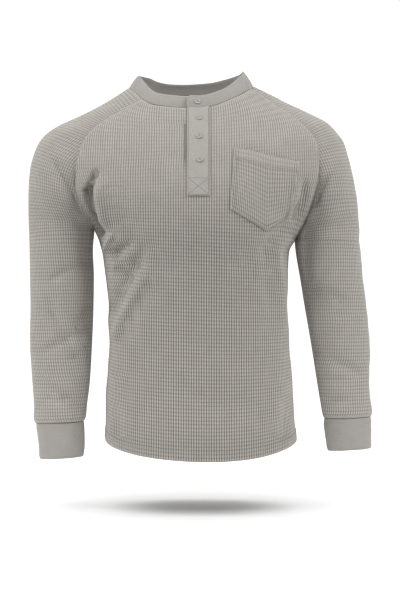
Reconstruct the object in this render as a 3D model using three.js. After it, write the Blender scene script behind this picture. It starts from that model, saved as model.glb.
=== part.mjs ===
// Long-sleeved waffle-knit henley with raglan sleeves, worn shape with nobody in it.
// Millimetres, +Z up, the front faces -Y, +X is the wearer's left.
// The origin is the centre of the neck at the level of the shoulder-neck points.
// Every cut piece is a thin wall laid over one shared form: horizontal sections for the
// trunk, arcs from seam to seam for the sleeves.
import * as THREE from 'three';
import { mergeVertices } from 'three/addons/utils/BufferGeometryUtils.js';

// ---------- driving dimensions ----------
const WALL = 1.8;            // waffle knit wall
const RIB_WALL = 2.0;        // doubled neckband
const CUFF_WALL = 2.4;       // doubled cuff
const SEAM_GAP = 0.4;        // clear distance across a seam
const LAY_GAP = 0.7;         // clearance under what lies on a panel
const CENTRE_X = -2;         // centre front line
const SIDE_Y = 4;            // depth of the side seams
const FRONT_POWER = 2.35;    // roundness of the front sections
const BACK_POWER = 2.5;      // roundness of the back sections
const HEM_DIP = { front: 36, back: 40 };      // hem is cut lower at the centre
const HEM_ROUND = { left: 0.36, right: 0.55 };  // how squarely the hem turns up to each side seam
const SLIT = { left: -17, right: 11, foot: -205 };
const PLACKET = { left: -23.5, right: 17.5, foot: -215, rows: 9, columns: 4 };
const BUTTON = { radius: 5.6, thickness: 2.0, bevel: 0.45, hole: 0.8, holeApart: 2.9 };
const BAND_OVERLAP = { under: 17, tab: -24.5, fade: 34 };   // x where the band's ends lie

// ---------- small helpers ----------
const mix = (a, b, t) => a + (b - a) * t;
const clamp = (v, a, b) => Math.min(b, Math.max(a, v));
const ease = (a, b, v) => { const t = clamp((v - a) / (b - a), 0, 1); return t * t * (3 - 2 * t); };

// smooth curve through table rows, looked up by the column named key
function lookup(rows, key, name) {
  const n = rows.length, k = rows.map(r => r[key]), v = rows.map(r => r[name]);
  const slope = i => (i === 0 ? (v[1] - v[0]) / (k[1] - k[0])
    : i === n - 1 ? (v[n - 1] - v[n - 2]) / (k[n - 1] - k[n - 2])
      : (v[i + 1] - v[i - 1]) / (k[i + 1] - k[i - 1]));
  return x => {
    if (x <= k[0]) return v[0];
    if (x >= k[n - 1]) return v[n - 1];
    let i = 0;
    while (x > k[i + 1]) i++;
    const h = k[i + 1] - k[i], t = (x - k[i]) / h, t2 = t * t, t3 = t2 * t;
    return v[i] * (2 * t3 - 3 * t2 + 1) + v[i + 1] * (3 * t2 - 2 * t3)
      + slope(i) * h * (t3 - 2 * t2 + t) + slope(i + 1) * h * (t3 - t2);
  };
}
// smooth curve by row number
function rowCurve(rows, name) {
  return lookup(rows.map((r, i) => ({ i, v: r[name] })), 'i', 'v');
}

// ---------- trunk sections: front and back depth by height ----------
const DEPTH = [
  { z: -740, front: -119, back: 107 }, { z: -640, front: -117, back: 105 },
  { z: -560, front: -113, back: 99 }, { z: -480, front: -110, back: 95 },
  { z: -400, front: -112, back: 95 }, { z: -330, front: -119, back: 101 },
  { z: -270, front: -127, back: 109 }, { z: -220, front: -129, back: 115 },
  { z: -175, front: -124, back: 117 }, { z: -130, front: -113, back: 115 },
  { z: -90, front: -99, back: 109 }, { z: -50, front: -80, back: 97 },
  { z: -20, front: -60, back: 82 }, { z: 0, front: -46, back: 69 }, { z: 14, front: -36, back: 56 },
];
// side outline of the trunk below the armpits
const SIDES = {
  left: [
    { z: -670, x: -180 }, { z: -657, x: -179.7 }, { z: -623, x: -178.4 }, { z: -578, x: -178.8 },
    { z: -532, x: -174.6 }, { z: -486, x: -171.8 }, { z: -452, x: -173.5 }, { z: -407, x: -173.8 },
    { z: -372, x: -177.7 }, { z: -338, x: -182 }, { z: -315, x: -185.2 }, { z: -293, x: -190.6 },
    { z: -282, x: -195 }, { z: -271, x: -201 },
  ],
  right: [
    { z: -670, x: 183.5 }, { z: -657, x: 182.6 }, { z: -623, x: 178.8 }, { z: -555, x: 175.4 },
    { z: -509, x: 170.8 }, { z: -464, x: 168.9 }, { z: -418, x: 164.9 }, { z: -384, x: 166.8 },
    { z: -338, x: 167.6 }, { z: -315, x: 169.3 }, { z: -304, x: 172.1 }, { z: -291, x: 180.5 },
  ],
};

// ---------- raglan seams, armpit to neck: front seam, sleeve crown line, back seam ----------
// swell is how far the sleeve bulges past the seam's own depth; negative where it falls away from the seam
const RAGLAN = {
  left: [
    { fx: -201, fy: 4, fz: -271, tx: -324, ty: 4, tz: -277, bx: -201, by: 4, bz: -271, swell: 70 },
    { fx: -204, fy: -32, fz: -258, tx: -326, ty: 5, tz: -254, bx: -206, by: 46, bz: -256, swell: 34 },
    { fx: -214, fy: -53, fz: -241, tx: -327, ty: 5, tz: -226, bx: -219, by: 73, bz: -236, swell: 22 },
    { fx: -226, fy: -69, fz: -214, tx: -326, ty: 6, tz: -188, bx: -233, by: 90, bz: -203, swell: 14 },
    { fx: -231, fy: -75, fz: -178, tx: -320, ty: 8, tz: -142, bx: -238, by: 95, bz: -165, swell: 8 },
    { fx: -224, fy: -77, fz: -138, tx: -303, ty: 9, tz: -101, bx: -231, by: 95, bz: -127, swell: 1 },
    { fx: -210, fy: -68, fz: -101, tx: -273, ty: 10, tz: -75, bx: -214, by: 89, bz: -90, swell: 0.3 },
    { fx: -184, fy: -61, fz: -74, tx: -223, ty: 10, tz: -51, bx: -187, by: 79, bz: -56, swell: -1 },
    { fx: -150, fy: -55, fz: -53, tx: -172, ty: 9, tz: -23, bx: -152, by: 63, bz: -27, swell: -4 },
    { fx: -108, fy: -50, fz: -29, tx: -135.5, ty: 8, tz: 0, bx: -112, by: 44, bz: -3, swell: -12 },
  ],
  right: [
    { fx: 180.5, fy: 4, fz: -291, tx: 304, ty: 6, tz: -292, bx: 180.5, by: 4, bz: -291, swell: 70 },
    { fx: 186.5, fy: -31, fz: -275, tx: 303, ty: 7, tz: -264, bx: 188, by: 45, bz: -272, swell: 33 },
    { fx: 200, fy: -51, fz: -250, tx: 300, ty: 8, tz: -234, bx: 204, by: 75, bz: -243, swell: 21 },
    { fx: 217, fy: -68, fz: -200, tx: 295.5, ty: 9, tz: -194, bx: 222, by: 92, bz: -200, swell: 12 },
    { fx: 220, fy: -73, fz: -161, tx: 286, ty: 10, tz: -148, bx: 226, by: 97, bz: -160, swell: 6 },
    { fx: 216, fy: -69, fz: -118, tx: 271, ty: 11, tz: -100, bx: 219, by: 96, bz: -122, swell: 1 },
    { fx: 202, fy: -58, fz: -89, tx: 243, ty: 12, tz: -66, bx: 203, by: 90, bz: -86, swell: 0.3 },
    { fx: 174, fy: -46, fz: -62, tx: 205, ty: 12, tz: -46, bx: 176, by: 80, bz: -54, swell: -1 },
    { fx: 140, fy: -30, fz: -36, tx: 161, ty: 11, tz: -27, bx: 138, by: 65, bz: -24, swell: -2 },
    { fx: 100.5, fy: -13, fz: -3, tx: 101.5, ty: 10, tz: 4, bx: 90, by: 46, bz: 0, swell: -4 },
  ],
};
const TOP = RAGLAN.left.length - 1;

// sleeve rings below the armpit, top to bottom: inner line, outer line, depth of the centre, half depth
const ARM = {
  left: [
    { ix: -201, iz: -271, ox: -324, oz: -277, yc: 4, deep: 70 },
    { ix: -204, iz: -308, ox: -323, oz: -308, yc: 3, deep: 68 },
    { ix: -202, iz: -355, ox: -322.6, oz: -355, yc: 1, deep: 64 },
    { ix: -202.5, iz: -422, ox: -322, oz: -425, yc: -3, deep: 57 },
    { ix: -204.5, iz: -488, ox: -321, oz: -490, yc: -8, deep: 50 },
    { ix: -208, iz: -555, ox: -317, oz: -557, yc: -14, deep: 43 },
    { ix: -212.5, iz: -596, ox: -313.5, oz: -598, yc: -20, deep: 38 },
    { ix: -214.5, iz: -620, ox: -313, oz: -624, yc: -23, deep: 35 },
    { ix: -217.5, iz: -629, ox: -310.5, oz: -633, yc: -24, deep: 32 },
  ],
  right: [
    { ix: 180.5, iz: -291, ox: 304, oz: -292, yc: 6, deep: 70 },
    { ix: 183.5, iz: -320, ox: 307, oz: -320, yc: 6, deep: 68 },
    { ix: 190.5, iz: -361, ox: 310, oz: -361, yc: 5, deep: 64 },
    { ix: 199.5, iz: -418, ox: 316.5, oz: -418, yc: 3, deep: 57 },
    { ix: 211, iz: -486, ox: 321.5, oz: -486, yc: 0, deep: 50 },
    { ix: 221.5, iz: -555, ox: 321, oz: -553, yc: -5, deep: 43 },
    { ix: 227.5, iz: -594, ox: 324, oz: -592, yc: -9, deep: 38 },
    { ix: 231, iz: -615, ox: 326.5, oz: -613, yc: -11, deep: 35 },
    { ix: 233.5, iz: -624.5, ox: 324.5, oz: -622.5, yc: -12, deep: 32 },
  ],
};
// cuffs: rings top to bottom
const CUFF = {
  left: [
    { ix: -218.3, iz: -629.6, ox: -309.5, oz: -633.6, yc: -24, deep: 31 },
    { ix: -217.6, iz: -652, ox: -305, oz: -656, yc: -26, deep: 30 },
    { ix: -217, iz: -676, ox: -302, oz: -681, yc: -28, deep: 28 },
    { ix: -218, iz: -695.2, ox: -300.8, oz: -700, yc: -30, deep: 26 },
  ],
  right: [
    { ix: 234.2, iz: -625.1, ox: 323, oz: -623.1, yc: -12, deep: 31 },
    { ix: 236, iz: -647, ox: 322.2, oz: -643, yc: -14, deep: 30 },
    { ix: 238.6, iz: -670, ox: 322.6, oz: -665, yc: -16, deep: 28 },
    { ix: 240.6, iz: -686, ox: 322.8, oz: -680.6, yc: -18, deep: 26 },
  ],
};

// ---------- neck line: height across the front and across the back ----------
const NECK = {
  front: [
    { x: -108, z: -29 }, { x: -101, z: -33.5 }, { x: -89, z: -40 }, { x: -73, z: -44.3 },
    { x: -50, z: -48 }, { x: -26, z: -49.6 }, { x: -2, z: -50.8 }, { x: 17.5, z: -47.5 },
    { x: 39, z: -40 }, { x: 59, z: -30.5 }, { x: 78, z: -18.5 }, { x: 93, z: -7.5 }, { x: 100.5, z: -3 },
  ],
  back: [
    { x: -112, z: -3 }, { x: -85, z: -5 }, { x: -45, z: -4 }, { x: -12, z: -3 },
    { x: 30, z: -3 }, { x: 65, z: -2 }, { x: 90, z: 0 },
  ],
};
// the band's rise and inward lean by direction from the neck centre, front = -90 degrees
const BAND = [
  { turn: -180, rise: 24, lean: 18 }, { turn: -150, rise: 21.5, lean: 18 }, { turn: -120, rise: 23, lean: 13 },
  { turn: -90, rise: 25.5, lean: 9 }, { turn: -60, rise: 24, lean: 13 }, { turn: -30, rise: 23.5, lean: 18 },
  { turn: -8, rise: 27, lean: 20 }, { turn: 12, rise: 30, lean: 19 }, { turn: 35, rise: 30.5, lean: 15 },
  { turn: 50, rise: 27.5, lean: 12 }, { turn: 66, rise: 22.5, lean: 10 }, { turn: 90, rise: 19.5, lean: 9 },
  { turn: 115, rise: 21, lean: 10 }, { turn: 131, rise: 24.5, lean: 12 }, { turn: 144, rise: 27.5, lean: 15 },
  { turn: 160, rise: 26.5, lean: 17 }, { turn: 180, rise: 24, lean: 18 },
];
const NECK_CENTRE = { x: -17, y: -2 };

// ---------- large folds: a soft trough (negative) or ridge along a line seen from the front ----------
// on: trunk or arm; face: front (-1) or back (1)
const FOLDS = [
  { on: 'trunk', face: -1, x0: -190, z0: -170, x1: -204, z1: -206, wide: 7, high: -8 },
  { on: 'trunk', face: -1, x0: -204, z0: -206, x1: -197, z1: -248, wide: 7, high: -11 },
  { on: 'trunk', face: -1, x0: -196, z0: -252, x1: -184, z1: -276, wide: 7, high: -7 },
  { on: 'trunk', face: -1, x0: -184, z0: -190, x1: -180, z1: -252, wide: 12, high: 6 },
  { on: 'trunk', face: -1, x0: -135, z0: -262, x1: -60, z1: -350, wide: 15, high: -4 },
  { on: 'trunk', face: -1, x0: -160, z0: -318, x1: -96, z1: -352, wide: 9, high: -5 },
  { on: 'trunk', face: -1, x0: -164, z0: -345, x1: -110, z1: -372, wide: 9, high: -4 },
  { on: 'trunk', face: -1, x0: 176, z0: -240, x1: 138, z1: -288, wide: 11, high: -5 },
  { on: 'trunk', face: -1, x0: 166, z0: -266, x1: 70, z1: -340, wide: 13, high: -4 },
  { on: 'trunk', face: -1, x0: 158, z0: -300, x1: 110, z1: -352, wide: 10, high: 3.5 },
  { on: 'trunk', face: -1, x0: -60, z0: -560, x1: 60, z1: -600, wide: 26, high: -3 },
  { on: 'trunk', face: 1, x0: -170, z0: -232, x1: -96, z1: -300, wide: 14, high: -6 },
  { on: 'trunk', face: 1, x0: 160, z0: -246, x1: 84, z1: -318, wide: 14, high: -6 },
  { on: 'trunk', face: 1, x0: -120, z0: -372, x1: 40, z1: -352, wide: 16, high: -5 },
  { on: 'trunk', face: 1, x0: -40, z0: -412, x1: 120, z1: -396, wide: 16, high: -4 },
  { on: 'arm', face: -1, x0: -215, z0: -330, x1: -270, z1: -362, wide: 9, high: -4 },
  { on: 'arm', face: -1, x0: -212, z0: -455, x1: -290, z1: -500, wide: 11, high: -4.5 },
  { on: 'arm', face: -1, x0: -300, z0: -555, x1: -228, z1: -598, wide: 10, high: -4 },
  { on: 'arm', face: -1, x0: 200, z0: -372, x1: 262, z1: -402, wide: 9, high: -4 },
  { on: 'arm', face: -1, x0: 222, z0: -500, x1: 296, z1: -540, wide: 11, high: -4.5 },
  { on: 'arm', face: 1, x0: -212, z0: -440, x1: -300, z1: -470, wide: 11, high: -5 },
  { on: 'arm', face: 1, x0: 208, z0: -452, x1: 300, z1: -486, wide: 11, high: -5 },
  { on: 'arm', face: 1, x0: -220, z0: -330, x1: -286, z1: -352, wide: 11, high: -4 },
  { on: 'arm', face: 1, x0: 196, z0: -344, x1: 272, z1: -362, wide: 11, high: -4 },
];
function foldHeight(on, p, n) {
  let sum = 0;
  for (const f of FOLDS) {
    if (f.on !== on) continue;
    const facing = ease(-0.05, 0.45, n.y * f.face);
    if (facing === 0) continue;
    const dx = f.x1 - f.x0, dz = f.z1 - f.z0;
    const t = clamp(((p.x - f.x0) * dx + (p.z - f.z0) * dz) / (dx * dx + dz * dz), 0, 1);
    const d = Math.hypot(p.x - f.x0 - t * dx, p.z - f.z0 - t * dz) / f.wide;
    if (d < 3) sum += facing * f.high * Math.exp(-d * d);
  }
  return sum;
}

// ---------- trunk form ----------
const frontDepth = lookup(DEPTH, 'z', 'front');
const backDepth = lookup(DEPTH, 'z', 'back');
const sideX = { left: lookup(SIDES.left, 'z', 'x'), right: lookup(SIDES.right, 'z', 'x') };
const seamCurve = {};
for (const side of ['left', 'right']) {
  seamCurve[side] = {};
  for (const name of ['fx', 'fy', 'fz', 'tx', 'ty', 'tz', 'bx', 'by', 'bz', 'swell']) {
    seamCurve[side][name] = rowCurve(RAGLAN[side], name);
  }
}
// the half width that a section needs to pass through the raglan seam at this height
const widthTable = {};
function halfWidth(side, face, z) {
  const key = side + face;
  if (!widthTable[key]) {
    const rows = [], c = seamCurve[side], [sx, sy, sz] = face < 0 ? ['fx', 'fy', 'fz'] : ['bx', 'by', 'bz'];
    for (let i = 0; i <= 60; i++) {
      const t = TOP * i / 60, z1 = c[sz](t), power = face < 0 ? FRONT_POWER : BACK_POWER;
      const depth = (face < 0 ? frontDepth(z1) : backDepth(z1)) - SIDE_Y;
      const share = clamp((c[sy](t) - SIDE_Y) / depth, 0, 0.97);
      rows.push({ z: z1, w: Math.abs(c[sx](t) - CENTRE_X) / Math.pow(1 - Math.pow(share, power), 1 / power) });
    }
    widthTable[key] = { low: rows[0].z, at: lookup(rows, 'z', 'w') };
  }
  const table = widthTable[key];
  return z <= table.low ? Math.abs(sideX[side](z) - CENTRE_X) : table.at(z);
}
function trunkPoint(x, z, face) {
  const side = x < CENTRE_X ? 'left' : 'right', power = face < 0 ? FRONT_POWER : BACK_POWER;
  const share = clamp(Math.abs(x - CENTRE_X) / halfWidth(side, face, z), 0, 1);
  const depth = (face < 0 ? frontDepth(z) : backDepth(z)) - SIDE_Y;
  return new THREE.Vector3(x, SIDE_Y + depth * Math.pow(Math.max(0, 1 - Math.pow(share, power)), 1 / power), z);
}
// a point on the trunk with its folds, moved out along the surface by lift
function trunkLaid(x, z, face, lift) {
  const e = 1.5, p = trunkPoint(x, z, face);
  const n = trunkPoint(x + e, z, face).sub(trunkPoint(x - e, z, face))
    .cross(trunkPoint(x, z + e, face).sub(trunkPoint(x, z - e, face))).normalize();
  if (n.y * face < 0) n.negate();
  return p.addScaledVector(n, foldHeight('trunk', p, n) + lift);
}
function trunkNormal(x, z, face) {
  return trunkLaid(x, z, face, 1).sub(trunkLaid(x, z, face, 0)).normalize();
}

// ---------- grids of outer surface points ----------
const LOWER_ROWS = 13, UPPER_ROWS = 11, HALF_COLUMNS = 9, ARM_ROWS = 13, ARC = 7;
// one row of a body panel: k counts from the hem; beyond LOWER_ROWS it follows the raglan seams
function panelRow(face, k) {
  const power = face < 0 ? FRONT_POWER : BACK_POWER;
  const [sx, sy, sz] = face < 0 ? ['fx', 'fy', 'fz'] : ['bx', 'by', 'bz'];
  const hemZ = { left: -657, right: -664 }, edge = {};
  const upper = k > LOWER_ROWS, t = upper ? TOP * (k - LOWER_ROWS) / UPPER_ROWS : 0, f = Math.min(1, k / LOWER_ROWS);
  for (const side of ['left', 'right']) {
    const c = seamCurve[side];
    if (upper) edge[side] = new THREE.Vector3(c[sx](t), c[sy](t), c[sz](t));
    else {
      const z = mix(hemZ[side], c.fz(0), f);
      edge[side] = new THREE.Vector3(sideX[side](z), SIDE_Y, z);
    }
  }
  const neckZ = lookup(face < 0 ? NECK.front : NECK.back, 'x', 'z');
  const dip = HEM_DIP[face < 0 ? 'front' : 'back'] * Math.pow(1 - f, 2.2);
  const pull = upper ? Math.pow(t / TOP, 2.4) : 0;
  const slit = face < 0 ? SLIT : { left: CENTRE_X, right: CENTRE_X };
  const row = [];
  for (let j = -HALF_COLUMNS; j <= HALF_COLUMNS; j++) {
    const side = j < 0 ? 'left' : 'right', u = Math.abs(j) / HALF_COLUMNS;
    const start = j < 0 ? slit.left : slit.right, spread = Math.pow(Math.sin(u * Math.PI / 2), 2 / power);
    const x = j === 0 && face < 0 ? mix(slit.left, slit.right, 0.5) : mix(start, edge[side].x, spread);
    if (u === 1) { row.push(edge[side].clone()); continue; }
    const across = (x - edge.left.x) / (edge.right.x - edge.left.x);
    let z = mix(edge.left.z, edge.right.z, across) - dip * Math.pow(Math.max(0, Math.cos((across - 0.5) * Math.PI)), mix(HEM_ROUND.left, HEM_ROUND.right, across));
    if (pull) {
      const cl = seamCurve.left, cr = seamCurve.right;
      const topAcross = mix(cl[sx](TOP), cr[sx](TOP), across);
      z += pull * (neckZ(topAcross) - mix(cl[sz](TOP), cr[sz](TOP), across));
    }
    row.push(trunkPoint(x, z, face));
  }
  return row;
}
function slitColumns(row) {
  // the two slit edges as columns of their own, either side of the centre column
  const z = row[HALF_COLUMNS].z;
  row.splice(HALF_COLUMNS + 1, 0, trunkPoint(SLIT.right, z, -1));
  row.splice(HALF_COLUMNS, 0, trunkPoint(SLIT.left, z, -1));
  return row;
}
// half an arc from a seam point over to the crown line, seen as a straight line from the front
function halfArc(seam, crown, deep, face, count, flat = false) {
  const across = new THREE.Vector2(crown.x - seam.x, crown.z - seam.z), long = across.length();
  across.normalize();
  const reach = Math.abs(seam.y - crown.y), share = clamp(reach / deep, 0, 1), q = (flat ? -1 : 1) * Math.sqrt(1 - share * share);
  const a = long / (1 + q), from = Math.atan2(share, -q), points = [];
  for (let i = 0; i <= count; i++) {
    const turn = from * (1 - i / count), run = long - a + a * Math.cos(turn);
    const y = i === 0 ? seam.y : crown.y + face * deep * Math.sin(turn);
    points.push(new THREE.Vector3(seam.x + across.x * run, y, seam.z + across.y * run));
  }
  return points;
}
function armRow(side, k) {
  let seamF, seamB, crown, deepF, deepB, flat = false;
  if (k > ARM_ROWS) {
    const c = seamCurve[side], t = TOP * (k - ARM_ROWS) / UPPER_ROWS;
    seamF = new THREE.Vector3(c.fx(t), c.fy(t), c.fz(t));
    seamB = new THREE.Vector3(c.bx(t), c.by(t), c.bz(t));
    crown = new THREE.Vector3(c.tx(t), c.ty(t), c.tz(t));
    flat = c.swell(t) < 0;
    deepF = Math.abs(seamF.y - crown.y) + Math.abs(c.swell(t));
    deepB = Math.abs(seamB.y - crown.y) + Math.abs(c.swell(t));
  } else {
    const rows = ARM[side], t = (rows.length - 1) * (1 - k / ARM_ROWS), at = name => rowCurve(rows, name)(t);
    seamF = new THREE.Vector3(at('ix'), at('yc'), at('iz'));
    if (k === ARM_ROWS) seamF.y = SIDE_Y;
    seamB = seamF.clone();
    crown = new THREE.Vector3(at('ox'), at('yc'), at('oz'));
    deepF = deepB = at('deep');
  }
  const frontArc = halfArc(seamF, crown, deepF, -1, ARC, flat);
  const backArc = halfArc(seamB, crown, deepB, 1, ARC, flat);
  return frontArc.concat(backArc.reverse().slice(1));
}

// ---------- walls ----------
// A piece is a grid of outer points. Its normals are averaged with the neighbours' along a shared
// seam, so both sides of a seam have the same rim, and the inner surface is one wall inside.
const pieces = {};
function addPiece(name, rows, opts) {
  const nv = rows.length, nu = rows[0].length, flip = opts.flip ? -1 : 1;
  const same = (a, b) => a.distanceToSquared(b) < 1e-6;
  const normals = rows.map(() => []);
  for (let i = 0; i < nv; i++) {
    for (let j = 0; j < nu; j++) {
      const closed = same(rows[i][0], rows[i][nu - 1]) && nu > 3 && opts.ring;
      const jp = j + 1 < nu ? j + 1 : (closed ? 1 : j), jm = j > 0 ? j - 1 : (closed ? nu - 2 : j);
      const ip = Math.min(nv - 1, i + 1), im = Math.max(0, i - 1);
      const du = rows[i][jp].clone().sub(rows[i][jm]), dv = rows[ip][j].clone().sub(rows[im][j]);
      normals[i].push(du.cross(dv).multiplyScalar(flip).normalize());
    }
  }
  pieces[name] = { rows, normals, nv, nu, ...opts };
}
function finishPieces() {
  const bins = new Map(), id = p => p.toArray().map(v => Math.round(v * 50)).join(',');
  for (const piece of Object.values(pieces)) {
    piece.rows.forEach((row, i) => row.forEach((p, j) => {
      const k = id(p);
      if (!bins.has(k)) bins.set(k, { n: new THREE.Vector3(), on: new Set() });
      bins.get(k).n.add(piece.normals[i][j]);
      bins.get(k).on.add(piece.on);
    }));
  }
  for (const piece of Object.values(pieces)) {
    const { rows, nv, nu } = piece;
    piece.outer = []; piece.inner = []; piece.shared = [];
    for (let i = 0; i < nv; i++) {
      piece.outer.push([]); piece.inner.push([]); piece.shared.push([]);
      for (let j = 0; j < nu; j++) {
        const own = piece.normals[i][j], bin = bins.get(id(rows[i][j])), n = bin.n.clone().normalize();
        const miter = 1 / Math.max(n.dot(own), 0.8);
        let lift = 0;
        for (const on of bin.on) lift += foldHeight(on, rows[i][j], n);
        const p = rows[i][j].clone().addScaledVector(n, lift);
        piece.shared[i].push(n);
        piece.outer[i].push(p);
        piece.inner[i].push(p.clone().addScaledVector(n, -piece.wall * miter));
      }
    }
  }
}
// pull a seam edge back from its line by half the seam gap, square to the seam and to the rim
function easeEdge(grid, piece) {
  const { nv, nu } = piece, step = SEAM_GAP * 0.5 + 0.02, moved = grid.map(r => r.map(p => p.clone()));
  const apart = (i, j, next, before, after) => {
    const away = piece.shared[i][j].clone().cross(after.clone().sub(before)).normalize();
    return away.dot(next.clone().sub(grid[i][j])) < 0 ? away.negate() : away;
  };
  for (let i = 0; i < nv; i++) {
    const ringRow = piece.ring && i < piece.ringRows, up = Math.min(nv - 1, i + 1), down = Math.max(ringRow ? 0 : (piece.ring ? piece.ringRows - 1 : 0), i - 1);
    for (let j = 0; j < nu; j++) {
      const pull = new THREE.Vector3();
      if (!ringRow || i === piece.ringRows - 1) {
        if (j === 0) pull.add(apart(i, j, grid[i][1], grid[ringRow ? i : down][j], grid[up][j]));
        if (j === nu - 1) pull.add(apart(i, j, grid[i][nu - 2], grid[ringRow ? i : down][j], grid[up][j]));
      }
      if (i === nv - 1) pull.add(apart(i, j, grid[nv - 2][j], grid[i][Math.max(0, j - 1)], grid[i][Math.min(nu - 1, j + 1)]));
      moved[i][j].addScaledVector(pull, step);
    }
  }
  if (piece.ring) {
    // the top of the underarm seam is one corner of the closed ring
    const i = piece.ringRows - 1, mid = moved[i][0].clone().add(moved[i][nu - 1]).multiplyScalar(0.5).add(new THREE.Vector3(0, 0, -0.3));
    moved[i][0].copy(mid); moved[i][nu - 1].copy(mid);
  }
  return moved;
}
function wallGeometry(piece) {
  const outer = easeEdge(piece.outer, piece), inner = easeEdge(piece.inner, piece);
  return shell(outer, inner, piece);
}
function shell(outer, inner, piece) {
  const nv = outer.length, nu = outer[0].length, position = [], index = [];
  const key = (i, j) => (piece.ring && i < piece.ringRows && j === nu - 1 ? i * nu : i * nu + j);
  for (const grid of [outer, inner]) for (const row of grid) for (const p of row) position.push(p.x, p.y, p.z);
  const shift = nv * nu, edges = new Map();
  const tri = (a, b, c) => { if (a !== b && b !== c && a !== c) index.push(a, b, c); };
  for (let i = 0; i + 1 < nv; i++) {
    for (let j = 0; j + 1 < nu; j++) {
      if (piece.skipCell && piece.skipCell(i, j)) continue;
      const a = key(i, j), b = key(i, j + 1), c = key(i + 1, j + 1), d = key(i + 1, j);
      if ((i + j) % 2) { tri(a, b, c); tri(a, c, d); tri(shift + a, shift + c, shift + b); tri(shift + a, shift + d, shift + c); }
      else { tri(a, b, d); tri(b, c, d); tri(shift + a, shift + d, shift + b); tri(shift + b, shift + d, shift + c); }
      for (const [s, e] of [[a, b], [b, c], [c, d], [d, a]]) {
        if (s === e) continue;
        if (edges.has(e + '_' + s)) edges.delete(e + '_' + s); else edges.set(s + '_' + e, [s, e]);
      }
    }
  }
  for (const [s, e] of edges.values()) { tri(s, shift + s, e); tri(e, shift + s, shift + e); }
  return solid(position, index);
}
function solid(position, index) {
  let volume = 0;
  const v = i => new THREE.Vector3(position[3 * i], position[3 * i + 1], position[3 * i + 2]);
  for (let i = 0; i < index.length; i += 3) volume += v(index[i]).dot(v(index[i + 1]).cross(v(index[i + 2])));
  if (volume < 0) for (let i = 0; i < index.length; i += 3) [index[i], index[i + 1]] = [index[i + 1], index[i]];
  const geometry = new THREE.BufferGeometry();
  geometry.setAttribute('position', new THREE.Float32BufferAttribute(position, 3));
  geometry.setIndex(index);
  return mergeVertices(geometry, 1e-4);
}

// ---------- the panels and sleeves ----------
const front = [], back = [];
for (let k = 0; k <= LOWER_ROWS + UPPER_ROWS; k++) {
  front.push(slitColumns(panelRow(-1, k)));
  back.push(panelRow(1, k));
}
// the slit's foot is the last row whose centre lies below it
const slitRow = front.findIndex(row => row[HALF_COLUMNS + 1].z > SLIT.foot);
addPiece('front', front, {
  on: 'trunk', wall: WALL, skipCell: (i, j) => i >= slitRow && (j === HALF_COLUMNS || j === HALF_COLUMNS + 1),
});
addPiece('back', back, { on: 'trunk', wall: WALL, flip: true });
for (const side of ['left', 'right']) {
  const rows = [];
  for (let k = 0; k <= ARM_ROWS + UPPER_ROWS; k++) rows.push(armRow(side, k));
  addPiece(side === 'left' ? 'sleeve_right' : 'sleeve_left', rows,
    { on: 'arm', wall: WALL, ring: true, ringRows: ARM_ROWS + 1, flip: side === 'left' });
}

// ---------- neckband ----------
// the neck seam as one loop: front right to left, over the shoulder, back, over the other shoulder
const lastOf = name => pieces[name].rows[pieces[name].nv - 1].slice();
const frontEdge = lastOf('front').reverse(), rightArm = lastOf('sleeve_right'), backEdge = lastOf('back'), leftArm = lastOf('sleeve_left');
const loop = [...frontEdge, ...rightArm.slice(1, -1), ...backEdge, ...leftArm.reverse().slice(1, -1)];
const bandRise = lookup(BAND, 'turn', 'rise'), bandLean = lookup(BAND, 'turn', 'lean');
function bandSection(p) {
  const away = new THREE.Vector3(p.x - NECK_CENTRE.x, (p.y - NECK_CENTRE.y) * 1.35, 0), turn = Math.atan2(away.y, away.x) * 180 / Math.PI;
  away.normalize();
  return { away, up: new THREE.Vector3(0, 0, bandRise(turn)).addScaledVector(away, -bandLean(turn)) };
}
function atFront(x) {
  // a point of the neck seam's front stretch at this x
  const i = frontEdge.findIndex(p => p.x < x), a = frontEdge[i - 1], b = frontEdge[i], t = (x - a.x) / (b.x - a.x);
  return a.clone().lerp(b, t);
}
function neckband() {
  const { under, tab, fade } = BAND_OVERLAP, path = [];
  const firstLeft = loop.findIndex(p => p.x < under);
  path.push({ p: atFront(under), pass: 0 });
  for (let i = firstLeft; i < loop.length; i++) path.push({ p: loop[i], pass: i < frontEdge.length ? 0 : 1 });
  for (let i = 0; i < frontEdge.length && frontEdge[i].x > tab + 3; i++) path.push({ p: frontEdge[i], pass: 2 });
  path.push({ p: atFront(tab + 2), pass: 2 });
  path.push({ p: atFront(tab), pass: 2 });
  const outer = [], inner = [], LEVELS = 2;
  for (let r = 0; r <= LEVELS; r++) { outer.push([]); inner.push([]); }
  path.forEach(({ p, pass }, i) => {
    const { away, up } = bandSection(p), side = new THREE.Vector3(-away.y, away.x, 0).normalize();
    const n = up.clone().cross(side).normalize();
    if (n.dot(away) < 0) n.negate();
    const tuck = pass === 0 ? (RIB_WALL + 0.7) * ease(tab - fade, tab - 4, p.x) : 0;
    const out = pass === 2 ? 0.5 * (1 - ease(under, under + fade, p.x)) : 0;
    const fromEnd = path.length - 1 - i, round = fromEnd === 0 ? 0.7 : fromEnd === 1 ? 0.9 : 1;
    for (let r = 0; r <= LEVELS; r++) {
      const h = r / LEVELS, bulge = 1.1 * Math.sin(Math.PI * h);
      const q = p.clone().addScaledVector(up, 0.02 + 0.98 * h * (h > 0.5 ? mix(1, round, (h - 0.5) * 2) : 1))
        .addScaledVector(n, bulge - tuck + out);
      outer[r].push(q);
      inner[r].push(q.clone().addScaledVector(n, -RIB_WALL));
    }
  });
  return shell(outer, inner, {});
}

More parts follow.
